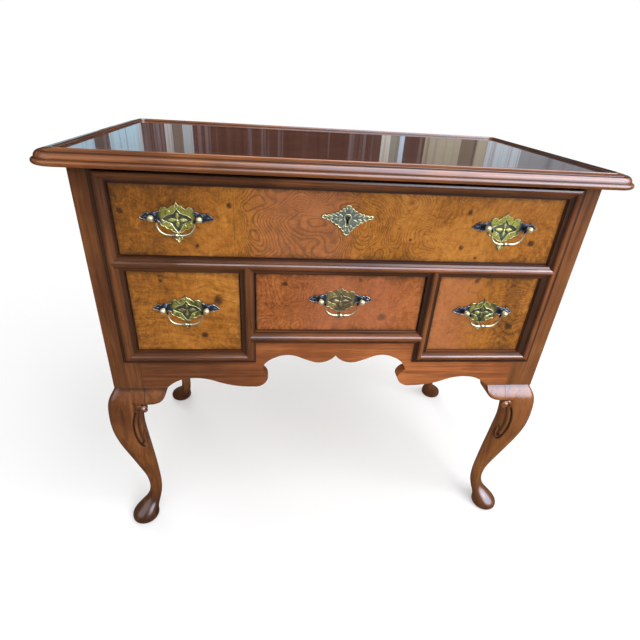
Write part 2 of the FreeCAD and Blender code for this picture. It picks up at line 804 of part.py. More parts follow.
def bail(x, z):
    """A bent rod with a beaded middle and a pin at each end, hanging between two posts."""
    level = bail_half_width + bail_shoulder_radius

    def at(across, up):
        return Vector(x + across, handle_y, z + up)

    def bend(middle_x, middle_z, radius, start, chords):
        angles = [math.radians(start + 90 * step / chords) for step in range(chords + 1)]
        return [(middle_x + radius * math.cos(angle), middle_z + radius * math.sin(angle))
                for angle in angles]

    shoulder = bend(level, -bail_shoulder_radius, bail_shoulder_radius, 90, bail_shoulder_chords)
    corner = bend(bail_half_width - bail_corner_radius, bail_corner_radius - bail_drop, bail_corner_radius,
                  -90, bail_corner_chords)
    right = shoulder + corner[::-1]
    left = [(-across, up) for across, up in reversed(right)]
    path = [at(across, up) for across, up in right + left]
    section = ring(path[0], Vector(0, 1, 0), Vector(0, 0, 1), bail_rod_radius, bail_sides)
    rod = Part.makePolygon(path).makePipeShell([section], True, False, 1)
    pin_length = handle_pitch / 2 - level
    pins = [turned(((0, bail_pin_radius), (pin_length, bail_pin_radius)), at(side * level, 0),
                   Vector(side, 0, 0), small_sides) for side in (-1, 1)]
    tip = bail_bead_half + bail_collar_width
    beads = turned(((-tip, bail_rod_radius), (-tip + bail_collar_width / 2, bail_collar_radius),
                    (-bail_bead_half, bail_rod_radius), (-bail_bead_half / 2, bail_bead_radius),
                    (bail_bead_half / 2, bail_bead_radius), (bail_bead_half, bail_rod_radius),
                    (tip - bail_collar_width / 2, bail_collar_radius), (tip, bail_rod_radius)),
                   at(0, -bail_drop), Vector(1, 0, 0), bail_sides)
    return fuse([rod, beads] + pins)


# ---- lock: an escutcheon over a keyhole, and a bolt that rises into the top rail ----
def keyhole(y0, y1):
    z = escutcheon_height
    round_part = turned(((0, keyhole_radius), (y1 - y0, keyhole_radius)), Vector(0, y0, z), Vector(0, 1, 0),
                        keyhole_sides)
    slot = box(-keyhole_slot / 2, keyhole_slot / 2, y0, y1, z - keyhole_drop, z)
    return fuse([round_part, slot])


def scalloped_edge(start, end, sag):
    """Small outward scallops along a hollow curve from start to end (x, z points)."""
    span = Vector(end[0] - start[0], 0, end[1] - start[1])
    inward = Vector(-span.z, 0, span.x).normalize()
    if inward.dot(Vector(start[0], 0, start[1] - escutcheon_height)) > 0:
        inward = inward * -1
    first = Vector(start[0], front_recess, start[1])

    def on_curve(share):
        return first + span * share + inward * (4 * sag * share * (1 - share))

    points = []
    for place in range(escutcheon_scallop_count):
        a, b = place / escutcheon_scallop_count, (place + 1) / escutcheon_scallop_count
        bulge = inward * (-escutcheon_scallop_rise * span.Length / escutcheon_scallop_count)
        points += bowed_line(on_curve(a), on_curve((a + b) / 2) + bulge, on_curve(b))
    return points


def escutcheon():
    z = escutcheon_height
    tips = [(-escutcheon_half_width, z + escutcheon_tip_rise), (0, z + escutcheon_rise),
            (escutcheon_half_width, z + escutcheon_tip_rise), (0, z - escutcheon_drop)]
    outline = []
    for place in range(len(tips)):
        outline += scalloped_edge(tips[place], tips[(place + 1) % len(tips)], escutcheon_sag)
    plate = prism(outline, Vector(0, -plate_thickness, 0))
    return plate.cut(keyhole(front_recess - plate_thickness - overcut, front_recess + overcut))


def lock_space():
    return box(-lock_half_width, lock_half_width, front_back - lock_thickness, front_back,
               long_drawer_top - lock_height, long_drawer_top)


def lock_bolt():
    y0, y1 = bolt_front, bolt_front + bolt_thickness
    low = long_drawer_top - bolt_height
    tongue = box(-bolt_half_width, bolt_half_width, y0, y1, low, long_drawer_top)
    foot = box(-bolt_half_width - bolt_foot, bolt_half_width + bolt_foot, y0, y1, low, low + bolt_foot_height)
    return fuse([tongue, foot])


def lock_case():
    wall = lock_wall
    front = front_back - lock_thickness
    cavity = box(-lock_half_width + wall, lock_half_width - wall, front + wall, front_back - wall,
                 long_drawer_top - lock_height + wall, long_drawer_top - wall)
    slot = bolt_slot(long_drawer_top - 2 * wall, long_drawer_top + overcut)
    shell = lock_space().cut(cavity).cut(slot).cut(keyhole(front - overcut, front + wall + overcut))
    pin = turned(((0, key_pin_radius), (front_thickness - wall, key_pin_radius)),
                 Vector(0, front_recess + key_pin_recess, escutcheon_height), Vector(0, 1, 0), turned_sides)
    return fuse([shell, pin])


drawers = [
    Drawer("top_drawer", -long_half + front_gap, long_half - front_gap, long_drawer_top - long_drawer_height,
           long_drawer_top, long_drawer_lip, (-side_drawer_middle, side_drawer_middle), handle_rise_long),
    Drawer("left_drawer", -side_half + front_gap, -partition_outer - front_gap, side_open_bottom + front_gap,
           small_open_top - front_gap, 0.0, (-side_drawer_middle,), handle_rise_side),
    Drawer("centre_drawer", -centre_drawer_width / 2, centre_drawer_width / 2, centre_open_bottom + front_gap,
           small_open_top - front_gap, 0.0, (0.0,), handle_rise_centre),
    Drawer("right_drawer", partition_outer + front_gap, side_half - front_gap, side_open_bottom + front_gap,
           small_open_top - front_gap, 0.0, (side_drawer_middle,), handle_rise_side),
]

# ---- the case ----
blank = front_left_leg_blank()
save("top_board", [top_board()])
save("top_edge_mouldings", top_edge_mouldings())
save("front_legs", both_sides(front_left_leg(blank)))
save("back_legs", both_sides(to_back(blank)))
save("knee_blocks", knee_blocks(blank))
save("left_side_panel", [side_panel()])
save("right_side_panel", [mirrored(side_panel())])
save("back_panel", [back_panel()])
save("top_rail", [top_rail()])
save("mid_rail", [mid_rail()])
save("front_apron", [front_apron()])
save("partitions", both_sides(partition()))
save("upper_runners", both_sides(upper_runner()))
save("kickers", both_sides(kicker()))
save("side_runners", both_sides(side_runner()))
save("inner_runners", both_sides(inner_runner()))
save("dust_board", [dust_board()])
save("drawer_stops", drawer_stops())
save("glue_blocks", glue_blocks())
save("bead_top", [bead_top()])
save("bead_sides", both_sides(bead_side()))
save("bead_mid", [bead_mid()])
save("bead_partitions", both_sides(bead_partition()))
save("bead_bottoms", bead_bottoms())

# ---- the drawers, their handles and the lock ----
for drawer in drawers:
    front = drawer.front()
    if drawer.name == "top_drawer":
        front = front.cut(lock_space()).cut(keyhole(0, front_back))
    drawer.save_box(front)
    drawer.save_fittings()
save("top_left_bail", [bail(-side_drawer_middle, drawers[0].handle_z)])
save("top_right_bail", [bail(side_drawer_middle, drawers[0].handle_z)])
save("left_bail", [bail(-side_drawer_middle, drawers[1].handle_z)])
save("centre_bail", [bail(0, drawers[2].handle_z)])
save("right_bail", [bail(side_drawer_middle, drawers[3].handle_z)])
save("escutcheon", [escutcheon()])
save("lock_case", [lock_case()])
save("lock_bolt", [lock_bolt()])
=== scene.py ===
import math
from functools import partial

import bmesh
import bpy
from bmesh.types import BMEdge, BMFace, BMVert
from mathutils import Matrix, Vector


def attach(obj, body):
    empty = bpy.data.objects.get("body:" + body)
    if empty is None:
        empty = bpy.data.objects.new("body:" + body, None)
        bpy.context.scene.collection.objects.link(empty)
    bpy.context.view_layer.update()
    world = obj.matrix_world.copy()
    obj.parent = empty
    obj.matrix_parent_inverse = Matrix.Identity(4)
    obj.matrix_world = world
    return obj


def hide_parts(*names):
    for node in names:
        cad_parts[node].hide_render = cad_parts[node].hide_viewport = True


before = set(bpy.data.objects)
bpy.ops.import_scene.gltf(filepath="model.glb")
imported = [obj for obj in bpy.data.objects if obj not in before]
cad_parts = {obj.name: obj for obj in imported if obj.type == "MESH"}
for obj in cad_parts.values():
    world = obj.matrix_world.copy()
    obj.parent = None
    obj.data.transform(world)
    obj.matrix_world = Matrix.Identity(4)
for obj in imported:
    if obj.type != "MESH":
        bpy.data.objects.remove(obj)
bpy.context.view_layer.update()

# ---- Front and back legs ----
# Four cabriole legs in solid walnut, each cut in one piece with the square post that carries the
# case. The knees are carved with a lapped C-scroll on both inner sides and end in pad feet.
CASE_HALF_WIDTH = 381.0
CASE_DEPTH = 408.0
CASE_MIDDLE = 204.0
LEG_HEIGHT = 342.5
LEG_ROUND = 128
PLAIN_POST = (((-381.0, 0.0, 342.5), (-330.5, 50.5, 715.0)),)
NOTCHED_POST = (((-381.0, 0.0, 342.5), (-334.5, 50.5, 715.0)), ((-334.5, 22.6, 342.5), (-330.5, 50.5, 715.0)),
                ((-334.5, 0.0, 342.5), (-330.5, 22.6, 586.0)), ((-334.5, 0.0, 693.0), (-330.5, 22.6, 715.0)))
# Share of the height, the middle's distance from the post's corner, half width, squareness.
LEG_STATIONS = (
    (0.0, 10.0, 22.4, 2.0), (0.0146, 10.0, 25.7, 2.0), (0.0438, 11.2, 24.9, 2.0), (0.0759, 19.2, 20.4, 2.0),
    (0.1109, 31.0, 15.0, 2.0), (0.1577, 39.2, 12.0, 2.0), (0.2336, 41.4, 11.7, 2.0), (0.3153, 38.4, 13.5, 2.0),
    (0.4146, 32.0, 17.6, 2.0), (0.5255, 24.3, 21.7, 2.1), (0.6307, 17.2, 25.0, 2.3), (0.7358, 12.2, 26.6, 2.6),
    (0.8409, 12.9, 27.0, 3.2), (0.9285, 18.4, 26.7, 4.2), (1.0, 35.7, 24.9, 8.0))
CARVED_LEVELS = (198.0, 322.0)
CARVED_TURNS = (5.0, 112.0)
CARVED_FADE = (12.0, 6.0)
CARVED_ROUND = 26.0
SCROLL_LINE = ((34.0, 309.0), (27.5, 306.5), (22.5, 299.0), (19.5, 289.3), (17.8, 277.7), (17.1, 266.0),
               (16.9, 252.0), (17.0, 240.4), (18.0, 223.8), (20.6, 211.5), (26.0, 206.0), (32.0, 209.5),
               (35.6, 219.0), (36.6, 231.0))
# Groove, ridge and hollow: how far out, how far inside the line, how wide.
SCROLL_SECTION = ((-2.6, 0.0, 1.9), (0.9, 3.4, 1.3), (-1.3, 8.6, 3.6))
BALL_PLACE, BALL_RADIUS, BALL_RISE, BALL_SUNK = Vector((24.0, 218.5)), 4.6, 1.7, 0.6
VOLUTE, VOLUTE_SIZE = (-335.0, -8.0, 305.5), (6.6, 9.0, 6.6)
VOLUTE_NECK, VOLUTE_NECK_SIZE = (-342.5, -5.5, 306.8), (8.0, 6.5, 6.2)
VOLUTE_LINE = ((-348.0, 299.0), (-346.1, 305.5), (-341.5, 310.6), (-334.5, 312.4), (-329.3, 309.4), (-327.9, 304.4),
               (-330.7, 299.9), (-335.7, 299.2), (-339.1, 302.6), (-338.5, 306.8), (-335.1, 308.2), (-332.7, 306.0))
# Up to its lead's end the volute's line lies on the leg's own face; its thickness and how much that tapers.
LEAD_END, LEAD_FACE, VOLUTE_THICKNESS = -340.5, -10.6, (1.25, 0.6)
# Dark wax and painted shade in the carving begin at this depth and are full so much deeper; the round ball in the
# scroll is painted dark all over.
DARK_START, DARK_FULL, BALL_DARK = 0.45, 1.1, 0.85


def from_node(value):
    return isinstance(value, bpy.types.NodeSocket)


def wired(owner, kind, inputs=None, **settings):
    """A new shader node in the tree of its owner, with its inputs set or linked."""
    tree = owner.id_data
    node = tree.nodes.new("ShaderNode" + kind)
    for key, value in settings.items():
        setattr(node, key, value)
    for key, value in (inputs or {}).items():
        if from_node(value):
            tree.links.new(value, node.inputs[key])
        else:
            node.inputs[key].default_value = value
    return node


def reckoned(operation, *values):
    """What the operation makes of up to three values, one of them at least from a node."""
    owner = next(filter(from_node, values))
    return wired(owner, "Math", dict(enumerate((*values, 0.0, 0.0)[:3])), operation=operation).outputs[0]


plus, less, times, times_plus, lesser, greater, unsigned = (partial(reckoned, operation) for operation in (
    "ADD", "SUBTRACT", "MULTIPLY", "MULTIPLY_ADD", "MINIMUM", "MAXIMUM", "ABSOLUTE"))


def spread(value, start, end, least=0.0, most=1.0, steps="LINEAR"):
    """Least where the value is at start, most where it is at end, and evenly between."""
    return wired(value, "MapRange", {"Value": value, "From Min": start, "From Max": end, "To Min": least,
                                     "To Max": most}, interpolation_type=steps).outputs[0]


def band(value, start, full, fade, end):
    """One between full and fade, and nothing before start or after end."""
    return times(spread(value, start, full, steps="SMOOTHSTEP"), spread(value, fade, end, 1.0, 0.0, "SMOOTHSTEP"))


def shade(factor, stops, steps="EASE"):
    """A colour by a number, through stops of a place and a colour."""
    node = wired(factor, "ValToRGB", {"Fac": factor})
    ramp = node.color_ramp
    ramp.interpolation = steps
    while len(ramp.elements) < len(stops):
        ramp.elements.new(0.5)
    for element, (place, colour) in zip(ramp.elements, stops):
        element.position = place
        element.color = (*colour, 1.0)
    return node.outputs["Color"]


def mixed(factor, first, second, how="MIX"):
    """The first colour where the factor is nothing, the second where it is one."""
    first, second = (value if from_node(value) else (*value, 1.0) for value in (first, second))
    owner = next(filter(from_node, (factor, first, second)))
    return wired(owner, "Mix", {0: factor, 6: first, 7: second}, data_type="RGBA", blend_type=how).outputs[2]


def stretched(where, scale=(1.0, 1.0, 1.0), shift=(0.0, 0.0, 0.0)):
    return wired(where, "Mapping", {"Vector": where, "Scale": scale, "Location": shift}).outputs[0]


def mottle(where, scale, detail=3.0, roughness=0.5, distortion=0.0):
    return wired(where, "TexNoise", {"Vector": where, "Scale": scale, "Detail": detail, "Roughness": roughness,
                                     "Distortion": distortion}).outputs[0]


def axes(where):
    return wired(where, "SeparateXYZ", {0: where}).outputs


def fresh(name):
    """An empty material, and the place on the object that its pattern follows."""
    material = bpy.data.materials.new(name)
    material.use_nodes = True
    material.node_tree.nodes.clear()
    return material, wired(material.node_tree, "TexCoord").outputs["Object"]


def surface(inputs, height, strength, depth):
    """The material's outside, dented by a height unless that is None."""
    owner = inputs["Base Color"]
    if height is not None:
        dents = wired(height, "Bump", {"Height": height, "Strength": strength, "Distance": depth})
        inputs = {**inputs, "Normal": dents.outputs[0]}
    wired(owner, "OutputMaterial", {"Surface": wired(owner, "BsdfPrincipled", inputs).outputs[0]})


def polished(colour, roughness, coat, coat_roughness, height, depth):
    surface({"Base Color": colour, "Roughness": roughness, "Specular IOR Level": 0.2, "Coat Weight": coat,
             "Coat Roughness": coat_roughness}, height, 0.6, depth)


def timber(name, grain, stops, coat=0.5, coat_roughness=0.12, shift=0.0, across=75.0, along=2.6, crests=None,
           dark_bands=(), painted_light=()):
    """Wood with its grain along one axis (0, 1 or 2), polished where it has a coat. A moulding with crests is
    painted
    dark away from them as painted shade: crests are an axis, places on it, and how far below and above them the
    painted shade begins and is full, and how dark. Dark bands are a row of bands painted darker, most of them
    painted shade: an axis, four places on it, and how dark. Painted light is a row of bands painted paler where
    light falls: an axis, four places on it, and how much paler."""
    material, here = fresh(name)
    place_on = axes(here)
    wide, fine = [across] * 3, [across * 9.0] * 3
    wide[grain], fine[grain] = along, along * 9.0
    figure = mottle(stretched(here, wide, (shift, shift * 0.7, shift * 0.4)), 1.0, 6.0, 0.6, 0.7)
    pores = mottle(stretched(here, fine, (shift, 0.0, shift)), 1.0, 2.0)
    cloud = mottle(stretched(here, shift=(shift, shift, 0.0)), 9.0, 3.0, 0.55)
    tone = times_plus(figure, 0.6, times(cloud, 0.4))
    # Painted light: bands of the wood painted paler where light falls.
    for axis, *stretch, amount in painted_light:
        tone = times_plus(band(place_on[axis], *stretch), amount, tone)
    body = mixed(spread(pores, 0.54, 0.74, 0.0, 0.55), shade(tone, stops), stops[0][1])
    # The leg carving's dark wax and painted shade, as marked on its corners.
    wax_and_shade = wired(here, "Attribute", attribute_name="wax_and_shade").outputs["Fac"]
    # Painted shade on a moulding's flanks, away from its crests.
    if crests:
        axis, places, below, above = crests
        flank_shade = None
        for place in places:
            both = greater(*(spread(place_on[axis], place + sign * start, place + sign * end, 0.0, most)
                             for sign, (start, end, most) in ((-1, below), (1, above))))
            flank_shade = both if flank_shade is None else lesser(flank_shade, both)
        wax_and_shade = greater(wax_and_shade, flank_shade)
    # Dark bands, most of them painted shade.
    for axis, *stretch, most in dark_bands:
        wax_and_shade = greater(wax_and_shade, times(band(place_on[axis], *stretch), most))
    # All this darkening is painted near black: painted shade, and dark wax in a leg's carving.
    body = mixed(times(wax_and_shade, 0.95), body, (0.012, 0.006, 0.004))
    polished(body, times_plus(cloud, 0.22, 0.28), coat, coat_roughness, pores, 0.00012)
    return material


WALNUT_STEPS = (0.30, 0.45, 0.60, 0.76)
LEG_WALNUT = tuple(zip(WALNUT_STEPS, (
    (0.048, 0.014, 0.0042), (0.130, 0.041, 0.0098), (0.235, 0.078, 0.0165), (0.340, 0.125, 0.0280))))
# Painted light and shade on the legs: the right-hand legs and a band low on every leg are painted paler as painted
# light; a band at the top of each knee, under the case, is painted dark as painted shade and dark reflection. The
# feet are also darker towards the floor, and the posts darker than the knees.
walnut_upright = timber("walnut_upright_grain", 2, LEG_WALNUT, coat=1.0, coat_roughness=0.05, dark_bands=(
    (2, -1.0, -0.9, 0.015, 0.10, 0.6), (2, 0.3355, 0.341, 0.3424, 0.3427, 0.75),
    (2, 0.3424, 0.3427, 1.0, 1.1, 0.22)), painted_light=((0, 0.18, 0.32, 1.0, 1.1, 0.10), (2, 0.06, 0.12, 0.20, 0.30, 0.03)))


def in_scene(name, data):
    holder = bpy.data.objects.new(name, data)
    bpy.context.scene.collection.objects.link(holder)
    return holder


def finished(shape, name, material):
    """A finished shape as an object in the scene."""
    mesh = bpy.data.meshes.new(name)
    shape.to_mesh(mesh)
    shape.free()
    mesh.materials.append(material)
    return in_scene(name, mesh)


def made(shape, name, material, body, node, corner=35.0):
    """Turns a finished shape, drawn in millimetres from the case front, into a piece of the object."""
    bmesh.ops.transform(shape, matrix=Matrix.Scale(0.001, 4) @ Matrix.Translation((0.0, -CASE_MIDDLE, 0.0)),
                        verts=shape.verts)
    piece = finished(shape, name, material)
    piece.data.polygons.foreach_set("use_smooth", [True] * len(piece.data.polygons))
    piece.data.set_sharp_from_angle(angle=math.radians(corner))
    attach(piece, body)
    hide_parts(node)
    return piece


def picked(found, kind):
    return [item for item in found if isinstance(item, kind)]


def on_ring(angle, radius=1.0):
    """The two coordinates of a point so many degrees round a circle."""
    return radius * math.cos(math.radians(angle)), radius * math.sin(math.radians(angle))


def station(share):
    """A smooth reading of the table of leg stations at a share of the leg's height."""
    share = min(share, 0.99999)
    place = max(i for i in range(len(LEG_STATIONS) - 1) if LEG_STATIONS[i][0] <= share)
    before, start = LEG_STATIONS[max(place - 1, 0)], LEG_STATIONS[place]
    end, after = LEG_STATIONS[place + 1], LEG_STATIONS[min(place + 2, len(LEG_STATIONS) - 1)]
    span = end[0] - start[0]
    t = (share - start[0]) / span
    values = []
    for column in (1, 2, 3):
        slope_in = (end[column] - before[column]) / max(end[0] - before[0], 1e-6) * span
        slope_out = (after[column] - start[column]) / max(after[0] - start[0], 1e-6) * span
        values.append((2 * t ** 3 - 3 * t ** 2 + 1) * start[column] + (t ** 3 - 2 * t ** 2 + t) * slope_in
                      + (3 * t ** 2 - 2 * t ** 3) * end[column] + (t ** 3 - t ** 2) * slope_out)
    return values


def smooth_line(points, pieces):
    line = []
    for i in range(len(points) - 1):
        a, b = Vector(points[max(i - 1, 0)]), Vector(points[i])
        c, d = Vector(points[i + 1]), Vector(points[min(i + 2, len(points) - 1)])
        for step in range(pieces):
            t = step / pieces
            line.append(0.5 * ((2 * b) + (c - a) * t + (2 * a - 5 * b + 4 * c - d) * t * t
                               + (3 * b - a - 3 * c + d) * t ** 3))
    line.append(Vector(points[-1]))
    return line


SCROLL = smooth_line(SCROLL_LINE, 4)


def carving(around, height):
    """How far the scroll's carving stands out from the knee, by the way round from the middle of a face."""
    here = Vector((around, height))
    nearest, side = 1e9, 1.0
    for a, b in zip(SCROLL, SCROLL[1:]):
        run = b - a
        t = min(max((here - a).dot(run) / run.length_squared, 0.0), 1.0)
        gap = here - (a + run * t)
        if gap.length < nearest:
            nearest, side = gap.length, 1.0 if run.x * gap.y - run.y * gap.x > 0 else -1.0
    inward = nearest * side
    out = sum(rise * math.exp(-((inward - place) / width) ** 2) for rise, place, width in SCROLL_SECTION)
    off = (here - BALL_PLACE).length / BALL_RADIUS
    return max(out, BALL_RISE * math.sqrt(1.0 - off * off) - BALL_SUNK) if off < 1.0 else out


def turns_from_faces(angle, carved_front):
    """How many degrees round an angle lies from the middle of each carved face."""
    from_front = (angle - 270.0 + 180.0) % 360.0 - 180.0
    from_side = (180.0 - angle + 180.0) % 360.0 - 180.0
    return (from_front, from_side) if carved_front else (from_side,)


def put(shape, corners, sizes, place):
    """Stretches some corners of a shape, drawn about the origin, and moves them to their place."""
    bmesh.ops.scale(shape, vec=sizes, verts=corners)
    bmesh.ops.translate(shape, vec=place, verts=corners)


def outward(shape):
    """Turns every face of a shape to look out of it."""
    bmesh.ops.recalc_face_normals(shape, faces=shape.faces)


def block(shape, low, high):
    corners = bmesh.ops.create_cube(shape, size=1.0)["verts"]
    put(shape, corners, [b - a for a, b in zip(low, high)], [(a + b) / 2 for a, b in zip(low, high)])


def egg(shape, middle, sizes):
    put(shape, bmesh.ops.create_uvsphere(shape, u_segments=24, v_segments=16, radius=1.0)["verts"], sizes, middle)


def loft(rings):
    """A skin through rings of the same count, closed at both ends."""
    shape = bmesh.new()
    first = bmesh.ops.create_circle(shape, cap_ends=True, segments=len(rings[0]), radius=1.0)["verts"]
    order = sorted(first, key=lambda corner: math.atan2(corner.co.y, corner.co.x) % (2 * math.pi))
    for corner, place in zip(order, rings[0]):
        corner.co = place
    edges = list(shape.edges)
    for ring in rings[1:]:
        seat = {corner: place for place, corner in enumerate(order)}
        grown = bmesh.ops.extrude_edge_only(shape, edges=edges)["geom"]
        order = [None] * len(ring)
        for corner in picked(grown, BMVert):
            below = next(edge.other_vert(corner) for edge in corner.link_edges if edge.other_vert(corner) in seat)
            order[seat[below]] = corner
        edges = [edge for edge in picked(grown, BMEdge) if edge.verts[0] not in seat and edge.verts[1] not in seat]
        for corner, place in zip(order, ring):
            corner.co = place
    bmesh.ops.contextual_create(shape, geom=order)
    outward(shape)
    return shape


def wire(shape, line, radius, closed=False):
    """A thin raised line along a row of (x, y, z) places; radius may be one for each."""
    curve = bpy.data.curves.new("line", "CURVE")
    curve.dimensions = "3D"
    curve.bevel_depth = 1.0
    curve.bevel_resolution = 2
    curve.use_fill_caps = True
    spline = curve.splines.new("POLY")
    spline.points.add(len(line) - 1)
    spline.use_cyclic_u = closed
    for place, (point, where) in enumerate(zip(spline.points, line)):
        point.co = (*where, 1.0)
        point.radius = radius[place] if isinstance(radius, list) else radius
    holder = bpy.data.objects.new("line", curve)
    mesh = bpy.data.meshes.new_from_object(holder)
    shape.from_mesh(mesh)
    bpy.data.objects.remove(holder)
    bpy.data.curves.remove(curve)
    bpy.data.meshes.remove(mesh)


def leg_ring(height, carved_front):
    offset, half, squareness = station(height / LEG_HEIGHT)
    middle_x, middle_y = -CASE_HALF_WIDTH + offset / math.sqrt(2), offset / math.sqrt(2)
    low, high = CARVED_LEVELS
    first, last = CARVED_TURNS
    round_fade, low_fade = CARVED_FADE
    ring = []
    for step in range(LEG_ROUND):
        angle = 2 * math.pi * step / LEG_ROUND
        across, along = math.cos(angle), math.sin(angle)
        reach = half / (abs(across) ** squareness + abs(along) ** squareness) ** (1 / squareness)
        for turn in turns_from_faces(math.degrees(angle), carved_front):
            if low < height < high and first < turn < last:
                fade = min(1.0, (turn - first) / round_fade, (last - turn) / round_fade, (height - low) / low_fade)
                reach += fade * carving(CARVED_ROUND * math.radians(turn), height)
        ring.append(Vector((middle_x + reach * across, middle_y + reach * along, height)))
    return ring


def leg_heights():
    low = [0.0, 1.2, 2.8, 5.0, 8.0, 11.5, 15.0, 18.5, 22.0, 26.0, 30.0, 34.0, 38.0, 43.0, 48.0, 54.0, 62.0]
    low += [62.0 + 8.0 * step for step in range(1, 17)]
    carved = [199.0 + 1.3 * step for step in range(95)]
    return low + carved + [324.0, 328.0, 332.0, 336.0, 339.5, 342.5]


KNEE_SEAM = -330.5
KNEE_REACH = 35.0
KNEE_LOW = 312.5
KNEE_ROUND = 7.5
KNEE_DEPTH = 30.0
KNEE_TUCK = 0.25
SHOULDER_RUNS = ((-0.80, 0.93), (-0.68, 0.965), (-0.55, 0.985), (-0.40, 0.998), (-0.008, 1.0))


def knee_ring(run, out, down):
    """An upright slice through the knee beside the seam; out and down are shares of its full size."""
    x = KNEE_SEAM + KNEE_REACH * run
    levels = [LEG_HEIGHT, 341.0, 339.0, 336.5, 334.0, 331.0, 328.0, 325.0, 322.5]
    levels += [KNEE_LOW + KNEE_ROUND * (1 - on_ring(a)[1]) for a in range(0, 91, 10)]
    front = []
    for level in levels:
        offset, half, _ = station(level / LEG_HEIGHT)
        under = max(0.0, KNEE_LOW + KNEE_ROUND - level) / KNEE_ROUND
        bulge = KNEE_TUCK + (1.0 - KNEE_TUCK) * math.sqrt(max(0.0, 1.0 - under * under))
        face = (offset / math.sqrt(2) - half) * bulge
        front.append(Vector((x, face * out, LEG_HEIGHT - (LEG_HEIGHT - level) * down)))
    low = LEG_HEIGHT - (LEG_HEIGHT - KNEE_LOW) * down
    foot = ((KNEE_DEPTH * 0.3, low), (KNEE_DEPTH, low), (KNEE_DEPTH, LEG_HEIGHT))
    return front + [Vector((x, y, z)) for y, z in foot]


def darken_grooves(shape, carved_front):
    """Marks how dark the carving is painted, as a value on the leg's corners: dark wax and painted shade in its
    grooves, and a dark round ball in the scroll.
    """
    layer = shape.verts.layers.float.new("wax_and_shade")
    for corner in shape.verts:
        x, y, z = corner.co
        if CARVED_LEVELS[0] < z < CARVED_LEVELS[1]:
            offset = station(z / LEG_HEIGHT)[0] / math.sqrt(2)
            angle = math.degrees(math.atan2(y - offset, x + CASE_HALF_WIDTH - offset))
            turns = turns_from_faces(angle, carved_front)
            depth = min([carving(CARVED_ROUND * math.radians(turn), z) for turn in turns
                         if CARVED_TURNS[0] < turn < CARVED_TURNS[1]], default=0.0)
            corner[layer] = min(1.0, max(0.0, -depth - DARK_START) / DARK_FULL)
            for turn in turns:
                if (Vector((CARVED_ROUND * math.radians(turn), z)) - BALL_PLACE).length < BALL_RADIUS * 1.1:
                    corner[layer] = max(corner[layer], BALL_DARK)


def over_diagonal(shape, corners):
    """Turns what is beside the leg's front face over to its other outer face."""
    turn = Matrix(((0, 1, 0, -CASE_HALF_WIDTH), (1, 0, 0, CASE_HALF_WIDTH), (0, 0, 1, 0), (0, 0, 0, 1)))
    bmesh.ops.transform(shape, matrix=turn, verts=corners)


def joined(shape, part):
    """Adds a finished part to a piece's shape and gives back its corners."""
    holder = bpy.data.meshes.new("part")
    part.to_mesh(holder)
    part.free()
    kept = set(shape.verts)
    shape.from_mesh(holder)
    bpy.data.meshes.remove(holder)
    return [corner for corner in shape.verts if corner not in kept]


def shoulder():
    """The leg's own wood beside the knee, sawn off square at the seam, with the volute under it."""
    part = loft([knee_ring(run, out, 1.0) for run, out in SHOULDER_RUNS])
    egg(part, VOLUTE, VOLUTE_SIZE)
    egg(part, VOLUTE_NECK, VOLUTE_NECK_SIZE)
    spiral = smooth_line(VOLUTE_LINE, 4)
    line = []
    for place in spiral:
        reach = Vector((place.x - VOLUTE[0], place.y - VOLUTE[2])).length / VOLUTE_SIZE[0]
        depth = VOLUTE[1] - VOLUTE_SIZE[1] * math.sqrt(max(0.25, 1.0 - reach * reach))
        line.append((place.x, min(depth, LEAD_FACE) if place.x < LEAD_END else depth, place.y))
    thick, taper = VOLUTE_THICKNESS
    wire(part, line, [thick - taper * i / len(spiral) for i in range(len(spiral))])
    return part


def to_corner(shape, on_right, at_back):
    """Takes a shape drawn at the front left corner over to the corner that it is for."""
    put(shape, shape.verts, (-1 if on_right else 1, -1 if at_back else 1, 1), (0, CASE_DEPTH if at_back else 0, 0))
    outward(shape)


for leg_name, on_right, at_back, leg_node in (
        ("front_left_leg", False, False, "front_legs"), ("front_right_leg", True, False, "front_legs"),
        ("back_left_leg", False, True, "back_legs"), ("back_right_leg", True, True, "back_legs")):
    shape = loft([leg_ring(height, not at_back) for height in leg_heights()])
    darken_grooves(shape, not at_back)
    over_diagonal(shape, joined(shape, shoulder()))
    if not at_back:
        joined(shape, shoulder())
    for low, high in PLAIN_POST if at_back else NOTCHED_POST:
        block(shape, low, high)
    to_corner(shape, on_right, at_back)
    made(shape, leg_name, walnut_upright, "case", leg_node, corner=50.0)

# ---- Knee blocks ----
# Six small walnut blocks glued under the case beside the knees and shaped in place, so that each
# knee runs out into the apron and the sides. They butt against the post on a plain seam.
KNEE_SLICES = (0.008, 0.03, 0.12, 0.25, 0.38, 0.5, 0.6, 0.7, 0.78, 0.85, 0.91, 0.955, 0.985, 0.998)
for on_right in (False, True):
    for block_name, on_side, at_back in (("front_", False, False), ("side_front_", True, False),
                                         ("side_back_", True, True)):
        shape = loft([knee_ring(run, *[(1.0 - run ** 3.0) ** (1 / 3.0)] * 2) for run in KNEE_SLICES])
        if on_side:
            over_diagonal(shape, shape.verts)
        to_corner(shape, on_right, at_back)
        block_name = "knee_block_" + block_name + ("right" if on_right else "left")
        made(shape, block_name, walnut_upright, "case", "knee_blocks", corner=50.0)

# ---- Case panels, apron and rails ----
# Solid walnut boards joined into the posts: upright grain in the side panels, level grain in the
# rails and in the fretted apron. Waxed and polished.
WALNUT = tuple(zip(WALNUT_STEPS, (
    (0.034, 0.010, 0.0042), (0.098, 0.029, 0.0095), (0.175, 0.052, 0.0155), (0.270, 0.088, 0.026))))
